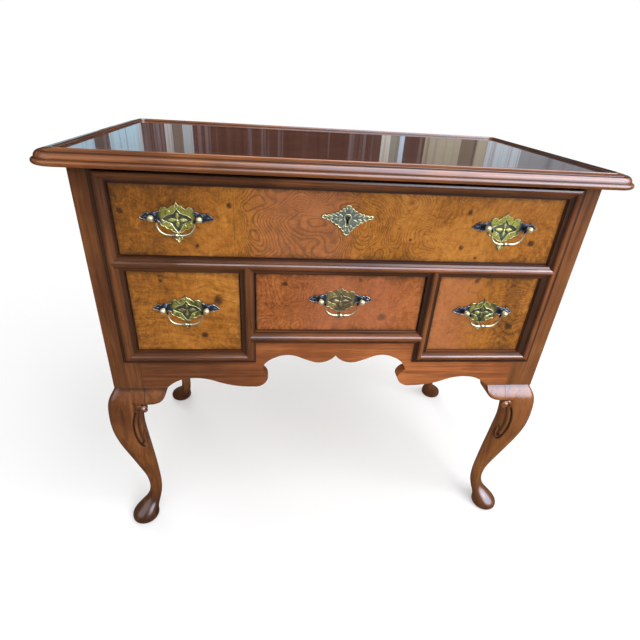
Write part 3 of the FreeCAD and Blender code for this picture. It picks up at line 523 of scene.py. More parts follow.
# The apron's walnut is a paler copy of the case walnut: painted light on the lit apron.
LIT_APRON_WALNUT = tuple(zip(WALNUT_STEPS, (
    (0.090, 0.026, 0.0066), (0.245, 0.070, 0.0165), (0.400, 0.124, 0.0310), (0.510, 0.178, 0.0490))))
walnut_level = timber("walnut_level_grain", 0, WALNUT, shift=1.7)
walnut_side = timber("walnut_side_panel", 2, WALNUT, shift=4.1, across=30.0, along=2.0)
# The apron's left end is painted darker, as painted shade.
walnut_apron = timber("walnut_apron", 0, LIT_APRON_WALNUT, coat=0.3, shift=1.7, across=120.0, along=4.0,
                      dark_bands=((0, -1.0, -0.9, -0.24, -0.06, 0.62),))
# The top rail is painted black above the top bead, as the painted shadow of the top's overhang.
walnut_top_rail = timber("walnut_top_rail", 0, WALNUT, coat=0.3, shift=1.2, dark_bands=((2, 0.699, 0.705, 1.0, 1.1, 1.0),))


def finish(material, *nodes):
    for node in nodes:
        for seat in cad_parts[node].material_slots:
            seat.material = material


finish(walnut_level, "mid_rail")
finish(walnut_apron, "front_apron")
finish(walnut_top_rail, "top_rail")
finish(walnut_side, "left_side_panel", "right_side_panel")
finish(walnut_upright, "partitions")

# ---- Inside the case ----
# The unseen frame: sawn pine runners, guides, kickers and dust board, the back panel, glue blocks
# and stops, all dry and unpolished, darkened by age.
PINE = ((0.30, (0.20, 0.105, 0.040)), (0.50, (0.34, 0.19, 0.080)), (0.66, (0.42, 0.25, 0.115)),
        (0.80, (0.47, 0.30, 0.15)))
pine_long = timber("pine_front_to_back", 1, PINE, coat=0.0, shift=0.4, across=40.0)
pine_wide = timber("pine_side_to_side", 0, PINE, coat=0.0, shift=2.2, across=48.0)
finish(pine_long, "upper_runners", "kickers", "side_runners", "inner_runners", "drawer_stops", "glue_blocks")
finish(pine_wide, "dust_board", "back_panel")

# ---- The top ----
# A walnut-veneered board lying inside a rim of solid moulding, French polished to a deep gloss.
TOP_WALNUT = ((0.28, (0.020, 0.0065, 0.0035)), (0.45, (0.046, 0.0145, 0.0070)), (0.60, (0.080, 0.026, 0.0115)),
              (0.80, (0.120, 0.042, 0.018)))
finish(timber("top_veneer_polished", 0, TOP_WALNUT, coat=1.0, coat_roughness=0.03, across=22.0, along=1.4),
       "top_board")

# ---- Rim of the top ----
# Four lengths of walnut moulding, mitred at rounded corners and glued round the board: a half-round
# nose, a quarter round over it, a fine quirk and a flat slope up to a narrow crest.
TOP_HALF_WIDTH = 420.0
TOP_HALF_DEPTH = 241.0
TOP_UNDERSIDE = 715.0
CORNER_RADIUS = 38.0
RIM_WIDTH = 29.0
RIM_WALNUT = tuple(zip(WALNUT_STEPS, (
    (0.046, 0.0142, 0.0042), (0.130, 0.040, 0.0095), (0.235, 0.074, 0.0160), (0.335, 0.115, 0.0270))))
# Painted shade in the rim's quirk and in the valley over its nose; the side lengths are also painted dark over their
# slope and crest.
QUIRK_SHADE = ((2, 0.7300, 0.7312, 0.7316, 0.7322, 0.8), (2, 0.7218, 0.7224, 0.7236, 0.7246, 0.6))
walnut_rim = timber("walnut_rim_level", 0, RIM_WALNUT, coat=0.6, coat_roughness=0.05, shift=3.0, dark_bands=QUIRK_SHADE)
walnut_rim_side = timber("walnut_rim_front_to_back", 1, RIM_WALNUT, coat=0.5, coat_roughness=0.05, shift=5.0,
                         dark_bands=QUIRK_SHADE + ((2, 0.7322, 0.7340, 1.0, 1.1, 0.8),))


def bow(start, middle, end, chords):
    """Points on the arc through three points in a plane, without its last point."""
    (ax, ay), (bx, by), (cx, cy) = start, middle, end
    a, b, c = ax ** 2 + ay ** 2, bx ** 2 + by ** 2, cx ** 2 + cy ** 2
    double = 2 * (ax * (by - cy) + bx * (cy - ay) + cx * (ay - by))
    ux = (a * (by - cy) + b * (cy - ay) + c * (ay - by)) / double
    uy = (a * (cx - bx) + b * (ax - cx) + c * (bx - ax)) / double
    radius = math.hypot(ax - ux, ay - uy)
    first, halfway, last = (math.atan2(y - uy, x - ux) for x, y in (start, middle, end))
    sweep = (last - first) % (2 * math.pi)
    if (halfway - first) % (2 * math.pi) > sweep:
        sweep -= 2 * math.pi
    turns = [first + sweep * i / chords for i in range(chords)]
    return [(ux + radius * math.cos(turn), uy + radius * math.sin(turn)) for turn in turns]


def rim_profile():
    """The moulding's section as (how far in from its outer edge, height over the top's underside)."""
    nose = bow((3.8, 0.0), (0.0, 3.8), (3.8, 7.6), 10)
    ovolo = bow((4.6, 8.4), (7.06, 14.24), (12.4, 16.7), 8)
    slope = bow((14.2, 17.2), (19.4, 18.3), (24.6, 19.0), 4)
    return [(RIM_WIDTH, 0.0)] + nose + [(3.8, 7.6), (4.6, 7.9)] + ovolo + [
        (12.4, 16.7), (12.9, 15.8), (13.8, 15.8)] + slope + [
        (24.6, 19.0), (25.2, 19.8), (26.2, 20.0), (27.4, 19.8), (28.2, 18.4), (28.4, 16.1), (RIM_WIDTH, 16.1)]


def swung(shape, degrees, axis, corners, about=(0, 0, 0)):
    bmesh.ops.rotate(shape, cent=about, matrix=Matrix.Rotation(math.radians(degrees), 3, axis), verts=corners)


for rim_name, half_length, distance, quarter, material in (
        ("rim_front", TOP_HALF_WIDTH, TOP_HALF_DEPTH, 0, walnut_rim),
        ("rim_right", TOP_HALF_DEPTH, TOP_HALF_WIDTH, 1, walnut_rim_side),
        ("rim_back", TOP_HALF_WIDTH, TOP_HALF_DEPTH, 2, walnut_rim),
        ("rim_left", TOP_HALF_DEPTH, TOP_HALF_WIDTH, 3, walnut_rim_side)):
    shape = bmesh.new()
    straight = half_length - CORNER_RADIUS
    section = [shape.verts.new((-straight, -distance + inward, TOP_UNDERSIDE + up)) for inward, up in rim_profile()]
    face = shape.faces.new(section)
    pivot = Vector((-straight, CORNER_RADIUS - distance, 0.0))
    half_corner = dict(axis=(0, 0, 1), angle=math.radians(45), steps=8)
    swung(shape, -45, "Z", section, pivot)
    bend = bmesh.ops.spin(shape, geom=[face], cent=pivot, **half_corner)["geom_last"]
    run = bmesh.ops.extrude_face_region(shape, geom=picked(bend, BMFace))["geom"]
    bmesh.ops.translate(shape, vec=(2 * straight, 0, 0), verts=picked(run, BMVert))
    pivot = Vector((straight, CORNER_RADIUS - distance, 0.0))
    bmesh.ops.spin(shape, geom=picked(run, BMFace), cent=pivot, **half_corner)
    outward(shape)
    swung(shape, 90 * quarter, "Z", shape.verts)
    bmesh.ops.translate(shape, vec=(0, CASE_MIDDLE, 0), verts=shape.verts)
    made(shape, rim_name, material, "case", "top_edge_mouldings")

# ---- Beads between the drawers ----
# Lengths of half-round walnut moulding glued round every drawer opening, mitred at the corners.
# Painted shade on the beads: their flanks away from the crests are painted dark, and more so on the side turned from
# the light; the beads' left half is painted darker as well.
LEVEL_CRESTS = (2, (0.575, 0.448, 0.409), (0.0025, 0.0065, 0.80), (0.003, 0.010, 0.62))
TOP_CREST = (2, (0.704,), (0.004, 0.0098, 0.85), (0.0008, 0.0035, 1.0))
UPRIGHT_CRESTS = (0, (-0.3455, -0.1485, 0.1485, 0.3455), (0.001, 0.0055, 0.85), (0.0035, 0.010, 0.85))
BEAD_LEFT_SHADE = ((0, -1.0, -0.9, -0.26, 0.02, 0.45),)
for bead_name, grain, shift, crests, beads in (
        ("walnut_bead_level", 0, 6.0, LEVEL_CRESTS, ("bead_mid", "bead_bottoms")),
        ("walnut_bead_top", 0, 6.5, TOP_CREST, ("bead_top",)),
        ("walnut_bead_upright", 2, 7.0, UPRIGHT_CRESTS, ("bead_sides", "bead_partitions"))):
    finish(timber(bead_name, grain, RIM_WALNUT, coat=0.8, coat_roughness=0.07, shift=shift, crests=crests,
                  dark_bands=BEAD_LEFT_SHADE), *beads)

# ---- Drawer fronts ----
# Pine fronts faced with burr walnut: knotty, swirling veneer with a level, clear strip here and
# there, polished to an amber gold and darkened near its edges by handling; its very edge is painted
# black as the shadow in the gap round it.
BURR = ((0.14, (0.062, 0.024, 0.005)), (0.34, (0.18, 0.063, 0.007)), (0.52, (0.34, 0.118, 0.011)),
        (0.74, (0.49, 0.202, 0.026)))
RED_BURR = ((0.16, (0.068, 0.019, 0.006)), (0.38, (0.22, 0.061, 0.011)), (0.56, (0.37, 0.114, 0.024)),
            (0.76, (0.48, 0.178, 0.048)))
ROSE = (0.44, 0.205, 0.102)
HANDLED, EDGE_SHADOW = (0.075, 0.030, 0.009), (0.030, 0.012, 0.005)


def burr(name, low, high, stops, knots, shift, level=0.3, rings=(), rose=None, joints=(), tones=()):
    """Burr veneer on one front, whose corners (x, z) are low and high. Each of the rings is a stretch of
    x (start, full, fade, end), how close its lines are and how dark; rose is a redder stretch; knots are
    (x, z, radius); tones are stretches that are paler or darker than the rest."""
    material, here = fresh(name)
    x, _, z = axes(here)
    where = stretched(here, shift=(shift, 0.0, 0.0))
    drift = mottle(where, 11.0, 2.0).node.outputs["Color"]
    pull = wired(where, "VectorMath", {0: drift, 1: (0.5, 0.5, 0.5)}, operation="SUBTRACT").outputs[0]
    pull = wired(where, "VectorMath", {0: pull, "Scale": 0.05}, operation="SCALE").outputs[0]
    bent = wired(where, "VectorMath", {0: where, 1: pull}, operation="ADD").outputs[0]
    grain = mottle(stretched(bent, (16.0, 60.0, 190.0)), 1.0, 6.0, 0.65, 0.6)
    curl = mottle(stretched(bent, (210.0, 60.0, 26.0)), 1.0, 2.0, 0.5, 0.8)
    fleck = mottle(bent, 260.0, 7.0, 0.80, 2.2)
    blotch = mottle(bent, 85.0, 4.0, 0.68, 1.4)
    cloud = mottle(bent, 13.0, 3.0, 0.6)
    swell = mottle(bent, 9.5, 1.6, 0.42)
    tone = times_plus(grain, 0.75 * level, 0.52 - 0.375 * level)
    for part, weight in ((curl, 0.24), (fleck, 1.0 - 0.5 * level), (blotch, 0.62), (cloud, 0.46)):
        tone = plus(tone, times_plus(part, weight, -weight / 2))
    for stretch, lines, strength in rings:
        line = reckoned("POWER", times_plus(reckoned("SINE", times(swell, lines)), 0.5, 0.5), 4.0)
        line = times(line, times_plus(blotch, 1.1, 0.2))
        tone = less(tone, times(times(line, band(x, *stretch)), strength))
    for knot_x, knot_z, size in knots:
        across, up = less(x, knot_x), less(z, knot_z)
        far = reckoned("SQRT", plus(times(across, across), times(up, up)))
        far = times_plus(fleck, size * 1.4, less(far, size * 0.7))
        tone = plus(tone, spread(far, size * 0.2, size * 1.3, -0.5, 0.0))
    for joint in joints:
        tone = plus(tone, spread(unsigned(less(x, joint)), 0.0002, 0.0009, -0.14, 0.0))
    for stretch, amount in tones:
        tone = times_plus(band(x, *stretch), amount, tone)
    body = shade(tone, stops, "LINEAR")
    if rose:
        warm = times(band(x, *rose), times_plus(cloud, 0.8, 0.1))
        body = mixed(warm, body, mixed(1.0, body, [value * 2.0 for value in ROSE], "MULTIPLY"))
        body = mixed(times(warm, 0.55), body, ROSE)
    near = lesser(lesser(less(x, low[0]), less(high[0], x)), lesser(less(z, low[1]), less(high[1], z)))
    ragged = times_plus(plus(cloud, blotch), 0.016, less(near, 0.016))
    body = mixed(spread(ragged, -0.004, 0.010, 0.70, 0.0, "SMOOTHSTEP"), body, HANDLED)
    # The very edge of each front is painted near black: the painted shadow in the gap round it.
    body = mixed(spread(near, 0.0006, 0.0022, 1.0, 0.0), body, EDGE_SHADOW)
    polished(body, times_plus(cloud, 0.2, 0.25), 0.45, 0.14, fleck, 0.00008)
    return material


finish(burr("burr_long_drawer", (-0.3335, 0.587), (0.3335, 0.692), BURR, (
    (-0.1716, 0.665, 0.0040), (0.186, 0.667, 0.0042), (0.183, 0.611, 0.0040), (0.210, 0.595, 0.0030),
    (0.296, 0.621, 0.005), (-0.323, 0.653, 0.004), (-0.221, 0.604, 0.003), (0.10, 0.622, 0.0025)), 0.0,
    rings=(((-0.1655, -0.150, -0.02, 0.05), 300.0, 0.30), ((-0.06, 0.02, 0.12, 0.2), 380.0, 0.20)),
    rose=(-0.160, -0.10, -0.03, 0.03), joints=(-0.1655,),
    tones=(((-0.40, -0.38, -0.28, -0.16), -0.13), ((0.02, 0.12, 0.26, 0.32), 0.03))), "top_drawer_front")
finish(burr("burr_left_drawer", (-0.3295, 0.421), (-0.1605, 0.563), BURR, (
    (-0.220, 0.451, 0.005), (-0.280, 0.547, 0.003), (-0.195, 0.515, 0.008)), 3.0, 0.75,
    tones=(((-0.40, -0.38, -0.30, -0.20), -0.07),)), "left_drawer_front")
finish(burr("burr_centre_drawer", (-0.1365, 0.460), (0.1365, 0.5625), RED_BURR, (
    (0.072, 0.487, 0.007), (-0.09, 0.545, 0.004), (0.03, 0.553, 0.003)), 5.0,
    rings=(((-0.15, -0.13, -0.05, 0.06), 330.0, 0.15),), rose=(-0.1, -0.02, 0.06, 0.14),
    tones=(((-0.20, -0.15, -0.12, -0.06), -0.06),)), "centre_drawer_front")
finish(burr("burr_right_drawer", (0.1605, 0.421), (0.3295, 0.563), BURR, (
    (0.224, 0.556, 0.0045), (0.30, 0.47, 0.006)), 8.0, 0.4,
    rings=(((0.26, 0.28, 0.33, 0.34), 260.0, 0.17),), rose=(0.14, 0.16, 0.18, 0.26),
    tones=(((0.27, 0.285, 0.31, 0.325), -0.10), ((0.14, 0.16, 0.18, 0.24), 0.04),
           ((0.16, 0.19, 0.34, 0.35), -0.04))), "right_drawer_front")

# ---- Drawer boxes ----
# Thin oak sides and backs dovetailed together, with loose oak bottoms in grooves: clean, unpolished.
OAK = ((0.30, (0.23, 0.135, 0.060)), (0.48, (0.36, 0.23, 0.11)), (0.64, (0.45, 0.31, 0.16)),
       (0.80, (0.52, 0.37, 0.20)))
oak_long = timber("oak_front_to_back", 1, OAK, coat=0.0, shift=0.9, across=60.0)
oak_wide = timber("oak_side_to_side", 0, OAK, coat=0.0, shift=1.9, across=60.0)
for drawer in ("top_drawer", "left_drawer", "centre_drawer", "right_drawer"):
    finish(oak_long, drawer + "_sides")
    finish(oak_wide, drawer + "_back", drawer + "_bottom")

# ---- Backplates ----
# Batwing backplates of cast and chased brass behind each handle: a raised edge, a four-petalled
# flower in an eye and plain wings. Lacquer keeps the middle yellow; wings and ground are dark.
HANDLES = (("top_drawer", "top_left_bail", -245.0, 647.8), ("top_drawer", "top_right_bail", 245.0, 647.8),
           ("left_drawer", "left_bail", -245.0, 502.65), ("centre_drawer", "centre_bail", 0.0, 521.35),
           ("right_drawer", "right_bail", 245.0, 502.65))
DRAWER_FACE, PLATE_BACK, PAD_FRONT = 1.6, 0.7, -0.2
# The right half from the top: the ends of small arcs, with a place on each arc between them.
PLATE_EDGE = (
    (0.0, 21.0), (1.6, 17.6), (4.2, 15.2), (7.0, 14.6), (8.6, 12.2), (11.0, 11.5), (12.0, 9.4), (18.8, 12.9),
    (23.5, 6.6), (26.8, 6.9), (29.0, 4.7), (32.2, 5.5), (34.2, 3.6), (37.3, 4.4), (39.4, 2.9), (40.3, 4.4),
    (40.2, 6.0), (45.6, 2.9), (52.0, -2.5), (49.0, -4.9), (45.8, -5.4), (43.2, -7.0), (40.4, -6.2), (34.0, -8.8),
    (27.4, -6.4), (26.0, -8.0), (24.4, -8.6), (23.0, -13.8), (17.6, -15.2), (14.8, -18.6), (10.6, -19.0),
    (6.6, -22.8), (1.7, -23.8), (1.2, -27.0), (1.5, -30.0), (5.4, -32.2), (2.6, -34.8), (1.6, -37.0), (0.0, -38.5))
EYE = ((0.0, 10.9), (2.2, 6.8), (5.4, 3.7), (10.0, 2.4), (15.2, 0.2), (20.5, -4.6), (15.0, -7.6), (9.6, -10.0),
       (7.4, -11.6), (5.6, -15.4), (2.4, -20.4), (0.0, -23.4))
# Thickness and depth of each step of the raised edge round the eye.
EDGE_STEPS = ((0.35, 0.35), (0.15, 0.0), (0.35, -0.35))
FLOWER_DROP = 5.8
# Turn, reach, length and width of the flower's two pairs of petals; place, turn and size of the strokes.
PETALS = ((0, 5.8, 5.6, 3.0), (90, 7.8, 7.0, 3.5))
PETAL_RISE, STROKE_WIDTH, STROKE_RISE = 1.15, 0.26, 0.26
# Length, width and rise of the flower's bud and of the leaf on the plate's tail.
BUD, TAIL, TAIL_PLACE = (1.7, 1.7, 1.2), (3.4, 1.8, 0.5), -33.0
STROKES = ((2.0, 14.2, 20, 2.4), (10.2, 6.9, 48, 3.0), (18.6, -9.4, -50, 3.0), (11.0, -13.4, -38, 3.0),
           (31.5, 0.2, 80, 3.0), (44.0, -1.4, 100, 3.6))
YELLOW = ((0.0, (0.060, 0.075, 0.060)), (0.16, (0.15, 0.175, 0.12)), (0.44, (0.13, 0.105, 0.030)),
          (0.66, (0.36, 0.36, 0.055)), (0.82, (0.50, 0.46, 0.10)), (0.98, (0.95, 0.90, 0.66)))
DARKENED = ((0.0, (0.008, 0.011, 0.016)), (0.60, (0.030, 0.038, 0.050)), (0.80, (0.060, 0.068, 0.082)),
            (0.97, (0.50, 0.48, 0.44)))
STAIN, LOW_STAIN = (0.095, 0.055, 0.018), (0.075, 0.065, 0.035)
BROWN_DARK, BROWN_PALE = (0.060, 0.052, 0.045), (0.42, 0.29, 0.13)
# How far forward the ground and the raised metal lie, how low the stained plates hang, how near the middle the
# brown one is, how far out the other handles are, and where on a plate its wing starts and is black.
GROUND_TO_RAISED, LOW_PLATES, CENTRE_PLATE = (-0.2032, -0.2046), (0.60, 0.56), (0.09, 0.06)
SIDE_HANDLES, WING_START, WING_BLACK = 0.245, 0.026, 0.030


def aged_brass(name, raised, wings=None):
    """Cast brass: bright where it stands out and dark in its ground; a handle plate's wings are blackened."""
    material, here = fresh(name)
    x, y, z = axes(here)
    spots = mottle(here, 420.0, 4.0, 0.65)
    patina = mottle(here, 90.0, 3.0, 0.6)
    tone = times_plus(less(spots, 0.5), 0.30, spread(y, *GROUND_TO_RAISED))
    tone = times_plus(less(patina, 0.5), 0.55, tone)
    body = shade(tone, raised, "LINEAR")
    if wings:
        stain = mottle(stretched(here, shift=(3.0, 1.0, 2.0)), 190.0, 4.0, 0.7)
        body = mixed(spread(stain, 0.50, 0.64, 0.0, 0.75), body, STAIN)
        worn = times(spread(z, *LOW_PLATES), spread(patina, 0.40, 0.56, 0.80, 0.10))
        body = mixed(worn, body, LOW_STAIN)
        off = unsigned(x)
        body = mixed(spread(off, *CENTRE_PLATE, 0.0, 0.62), body, mixed(patina, BROWN_DARK, BROWN_PALE))
        off = times_plus(patina, 0.010, lesser(off, unsigned(less(off, SIDE_HANDLES))))
        body = mixed(spread(off, WING_START, WING_BLACK), body, shade(tone, wings, "LINEAR"))
    surface({"Base Color": body, "Metallic": 0.7, "Roughness": times_plus(spots, 0.25, 0.26)}, spots, 0.4, 0.0003)
    return material


plate_brass = aged_brass("plate_brass", YELLOW, DARKENED)


def sheet_between(shape, outline, hole, back, front):
    """A flat sheet of metal in an outline of (x, z) places, with a hole in it."""
    edges = []
    for places in (outline, hole):
        corners = [shape.verts.new((across, front, up)) for across, up in places]
        edges += [shape.edges.new((corners[i], corners[(i + 1) % len(corners)])) for i in range(len(corners))]
    faces = picked(bmesh.ops.triangle_fill(shape, use_beauty=True, use_dissolve=False, edges=edges)["geom"], BMFace)
    for face in faces:
        if face.normal.y > 0:
            face.normal_flip()
    grown = bmesh.ops.extrude_face_region(shape, geom=faces, use_keep_orig=True)["geom"]
    bmesh.ops.translate(shape, vec=(0, back - front, 0), verts=picked(grown, BMVert))
    for face in picked(grown, BMFace):
        face.normal_flip()
    return faces


def petal(shape, centre, turn, length, width, rise):
    """A pointed leaf with a domed back, lying on the plate."""
    corners = bmesh.ops.create_uvsphere(shape, u_segments=12, v_segments=10, radius=1.0)["verts"]
    for corner in corners:
        x, y, z = corner.co
        pinch = max(0.0, 1.0 - abs(z) ** 1.6) ** 0.35 if abs(z) < 1.0 else 0.0
        corner.co = (x * width * pinch, y * rise, z * length)
    swung(shape, turn, "Y", corners)
    bmesh.ops.translate(shape, vec=centre, verts=corners)


def both_sides(right, x, z):
    """A closed outline about (x, z), from its right half."""
    return [(x + across, z + up) for across, up in right + [(-across, up) for across, up in reversed(right[1:-1])]]


for drawer, bail_name, x, z in HANDLES:
    shape = bmesh.new()
    right = [place for i in range(0, len(PLATE_EDGE) - 1, 2) for place in bow(*PLATE_EDGE[i:i + 3], 6)]
    outline = both_sides(right + [PLATE_EDGE[-1]], x, z)
    face = shape.faces.new([shape.verts.new((across, DRAWER_FACE, up)) for across, up in outline])
    back = bmesh.ops.extrude_face_region(shape, geom=[face])["geom"]
    bmesh.ops.translate(shape, vec=(0, PLATE_BACK - DRAWER_FACE, 0), verts=picked(back, BMVert))
    eye = both_sides([(place.x, place.y) for place in smooth_line(EYE, 3)], x, z)
    pad = sheet_between(shape, outline, eye, PLATE_BACK + 0.05, PAD_FRONT)
    outward(shape)
    for thickness, depth in EDGE_STEPS:
        bmesh.ops.inset_region(shape, faces=pad, thickness=thickness, depth=depth, use_even_offset=False)
    middle = z - FLOWER_DROP
    for turn, reach, length, width in PETALS:
        for side in (-1, 1):
            centre = (x + reach * side, PLATE_BACK, middle) if turn else (x, PLATE_BACK, middle + reach * side)
            petal(shape, centre, turn, length, width, PETAL_RISE)
    petal(shape, (x, PLATE_BACK - 0.2, middle), 0, *BUD)
    for side in (-1, 1):
        for across, up, turn, size in STROKES:
            petal(shape, (x + side * across, PAD_FRONT, z + up), turn * side, size, size * STROKE_WIDTH, STROKE_RISE)
    petal(shape, (x, PAD_FRONT, z + TAIL_PLACE), 0, *TAIL)
    plate_name = bail_name.replace("bail", "backplate")
    made(shape, plate_name, plate_brass, drawer, drawer + "_plates", corner=40.0)

# ---- Handle posts ----
# Turned brass posts with a flange, a slim neck and a ball head, bolted through the drawer front
# with a nut inside. The bails' pins turn in the ball heads.
HALF_PITCH = 33.0
BALL_HEAD = (16.0, 4.4)
POST_TURNING = ((1.6, 0.0), (1.6, 5.2), (2.2, 5.5), (2.8, 5.2), (3.1, 4.4), (3.8, 3.2), (5.0, 2.6), (8.0, 2.3),
                (10.6, 2.4), (11.3, 3.1), (11.8, 3.2), (12.3, 2.7))
BOLT = ((-1.4, 0.0), (-1.4, 2.0), (24.6, 2.0), (24.6, 0.0))
NUT = ((20.0, 2.0), (20.0, 5.0), (20.5, 5.3), (23.1, 5.3), (23.5, 5.0), (23.5, 2.0))
BLACKENED = (0.018, 0.022, 0.030)
# From this far forward a post's neck is blackened, over so many millimetres.
NECK_FRONT, NECK_FADE = -10.4, 0.6


def turned_brass(name, stops, roughness, metallic=1.0):
    """Turned or filed metal, worn bright on what hands touch and blackened where its mesh says tarnish."""
    material, here = fresh(name)
    spots = mottle(here, 300.0, 3.0, 0.6)
    tarnish = wired(here, "Attribute", attribute_name="tarnish").outputs["Fac"]
    surface({"Base Color": mixed(tarnish, shade(spots, stops), BLACKENED), "Metallic": metallic,
             "Roughness": times_plus(spots, 0.2, roughness)}, None, 0.0, 0.0)
    return material


post_brass = turned_brass("post_brass", ((0.3, (0.44, 0.37, 0.19)), (0.7, (0.66, 0.57, 0.33))), 0.30, 0.6)


def tarnished(shape, darkness):
    """Marks how blackened each point of a piece is."""
    layer = shape.verts.layers.float.new("tarnish")
    for corner in shape.verts:
        corner[layer] = darkness(corner.co)


def turned(shape, profile, foot, axis, steps):
    """Spins (distance along the axis, radius) pairs round an axis that starts at a foot."""
    axis = Vector(axis)
    side = axis.orthogonal().normalized()
    corners = [shape.verts.new(Vector(foot) + axis * along + side * radius) for along, radius in profile]
    edges = [shape.edges.new(pair) for pair in zip(corners, corners[1:])]
    bmesh.ops.spin(shape, geom=corners + edges, cent=foot, axis=axis, angle=2 * math.pi, steps=steps, use_merge=True)
    bmesh.ops.remove_doubles(shape, verts=shape.verts, dist=0.0005)


for drawer, bail_name, x, z in HANDLES:
    shape = bmesh.new()
    middle, radius = BALL_HEAD
    ball = [(middle + out, around) for around, out in (on_ring(a, radius) for a in range(-52, 90, 11))]
    for side in (-1, 1):
        foot = Vector((x + side * HALF_PITCH, DRAWER_FACE, z))
        turned(shape, list(POST_TURNING) + ball + [(middle + radius, 0.0)], foot, (0, -1, 0), 28)
        turned(shape, BOLT, foot + Vector((0, -0.2, 0)), (0, 1, 0), 12)
        turned(shape, NUT, foot, (0, 1, 0), 6)
    outward(shape)
    tarnished(shape, lambda place: min(max((place.y - NECK_FRONT) / NECK_FADE, 0.0), 1.0))
    post_name = bail_name.replace("bail", "posts")
    made(shape, post_name, post_brass, drawer, drawer + "_posts", corner=40.0)

# ---- Bails ----
# Cast and filed brass swing handles, thin at the arms and swelling towards a bead with two collars
# at the middle. A pin at each end turns in a post's ball head.
BAIL_Y, BAIL_DROP = -14.4, 23.5
BAIL_LINE = ((31.0, 0.0), (28.6, 0.0), (27.0, -0.8), (26.2, -2.6), (26.0, -6.0), (25.6, -10.5), (23.8, -15.5),
             (20.0, -19.8), (14.5, -22.6), (9.0, -23.5), (5.0, -23.5))
BAIL_THICKNESS = (1.0, 1.0, 1.5, 1.6, 1.35, 1.35, 1.4, 1.5, 1.65, 1.85, 2.0)
HALF_BEAD = ((5.4, 0.0), (5.4, 1.9), (4.9, 2.0), (4.2, 1.7), (3.8, 2.3), (3.2, 2.4), (2.7, 1.7), (2.3, 1.8),
             (1.8, 2.5), (0.9, 2.8))
# Where the arms begin, from what height and over how much they blacken, and the dark necks beside the bead.
ARMS_OFF, ARM_TARNISH, DARK_NECKS = 20.0, (-6.5, 2.0), ((2.25, 3.0), (3.9, 5.6))
bail_brass = turned_brass("bail_brass", ((0.3, (0.40, 0.35, 0.21)), (0.7, (0.62, 0.55, 0.37))), 0.24, 0.85)


def bail_tarnish(place, middle, level):
    """The arms' ends and the necks beside the bead are blackened; the grip is worn bright."""
    off = abs(place.x - middle)
    if off > ARMS_OFF:
        return min(max((place.z - level - ARM_TARNISH[0]) / ARM_TARNISH[1], 0.0), 1.0)
    return 0.9 if any(start < off < end for start, end in DARK_NECKS) else 0.0


for drawer, bail_name, x, z in HANDLES:
    shape = bmesh.new()
    for side in (-1, 1):
        thickness = [value.x for value in smooth_line([(t, 0.0) for t in BAIL_THICKNESS], 4)]
        wire(shape, [(x + side * place.x, BAIL_Y, z + place.y) for place in smooth_line(BAIL_LINE, 4)], thickness)
    bead = [(-along, radius) for along, radius in HALF_BEAD] + [(0.0, 2.85)] + list(reversed(HALF_BEAD))
    turned(shape, bead, (x, BAIL_Y, z - BAIL_DROP), (1, 0, 0), 20)
    outward(shape)
    tarnished(shape, lambda place: bail_tarnish(place, x, z))
    made(shape, bail_name + "_rod", bail_brass, bail_name, bail_name, corner=60.0)

# ---- Escutcheon and lock ----
# A pierced and chased brass plate with a scalloped edge pinned over the keyhole of the long drawer,
# and behind it a steel box lock whose bolt rises into the top rail.
KEYHOLE_Z = 652.5
SCALLOPS, SCALLOP_SAG, SCALLOP_TOOTH = 7, 5.2, 0.34
LINE_THICKNESS, PIN_REACH = 0.55, 36.4
PLATE_TIPS = ((-39.5, 2.6), (0.0, 19.5), (39.5, 2.6), (0.0, -26.0))
# Place from the keyhole, turn and length of each chased leaf.
LEAVES = ((11, 4.5, 55, 4.2), (11.5, -3.5, 120, 4.2), (18, 3.4, 70, 3.6), (18, -2.2, 108, 3.6), (24.5, 2.8, 78, 3.2),
          (24.5, -0.8, 100, 2.8), (31, 2.4, 88, 3.0), (5.0, 10.0, 20, 3.2), (5.4, -12.5, 160, 3.4),
          (2.2, 14.0, 10, 2.4), (2.4, -18.0, 170, 3.0))
finish(turned_brass("lock_steel_worn", ((0.3, (0.20, 0.19, 0.18)), (0.7, (0.38, 0.37, 0.35))), 0.36),
       "lock_case", "lock_bolt")
lock_brass = aged_brass("escutcheon_brass", (
    (0.0, (0.04, 0.046, 0.04)), (0.36, (0.095, 0.110, 0.085)), (0.60, (0.200, 0.215, 0.190)),
    (0.78, (0.36, 0.36, 0.19)), (0.94, (0.66, 0.60, 0.27))))


def scallops(start, end):
    """One side of the escutcheon between two tips: a hollow line cut into teeth."""
    start, end, middle = Vector(start), Vector(end), Vector((0.0, KEYHOLE_Z))
    span = end - start
    inward = Vector((-span.y, span.x)).normalized()
    if inward.dot(start - middle) > 0:
        inward = -inward

    def on_side(t, out=0.0):
        return tuple(start + span * t + inward * (4 * SCALLOP_SAG * t * (1 - t)) - inward * out)

    tooth = SCALLOP_TOOTH * span.length / SCALLOPS
    return [place for i in range(SCALLOPS) for place in bow(
        on_side(i / SCALLOPS), on_side((i + 0.5) / SCALLOPS, tooth), on_side((i + 1) / SCALLOPS), 6)]


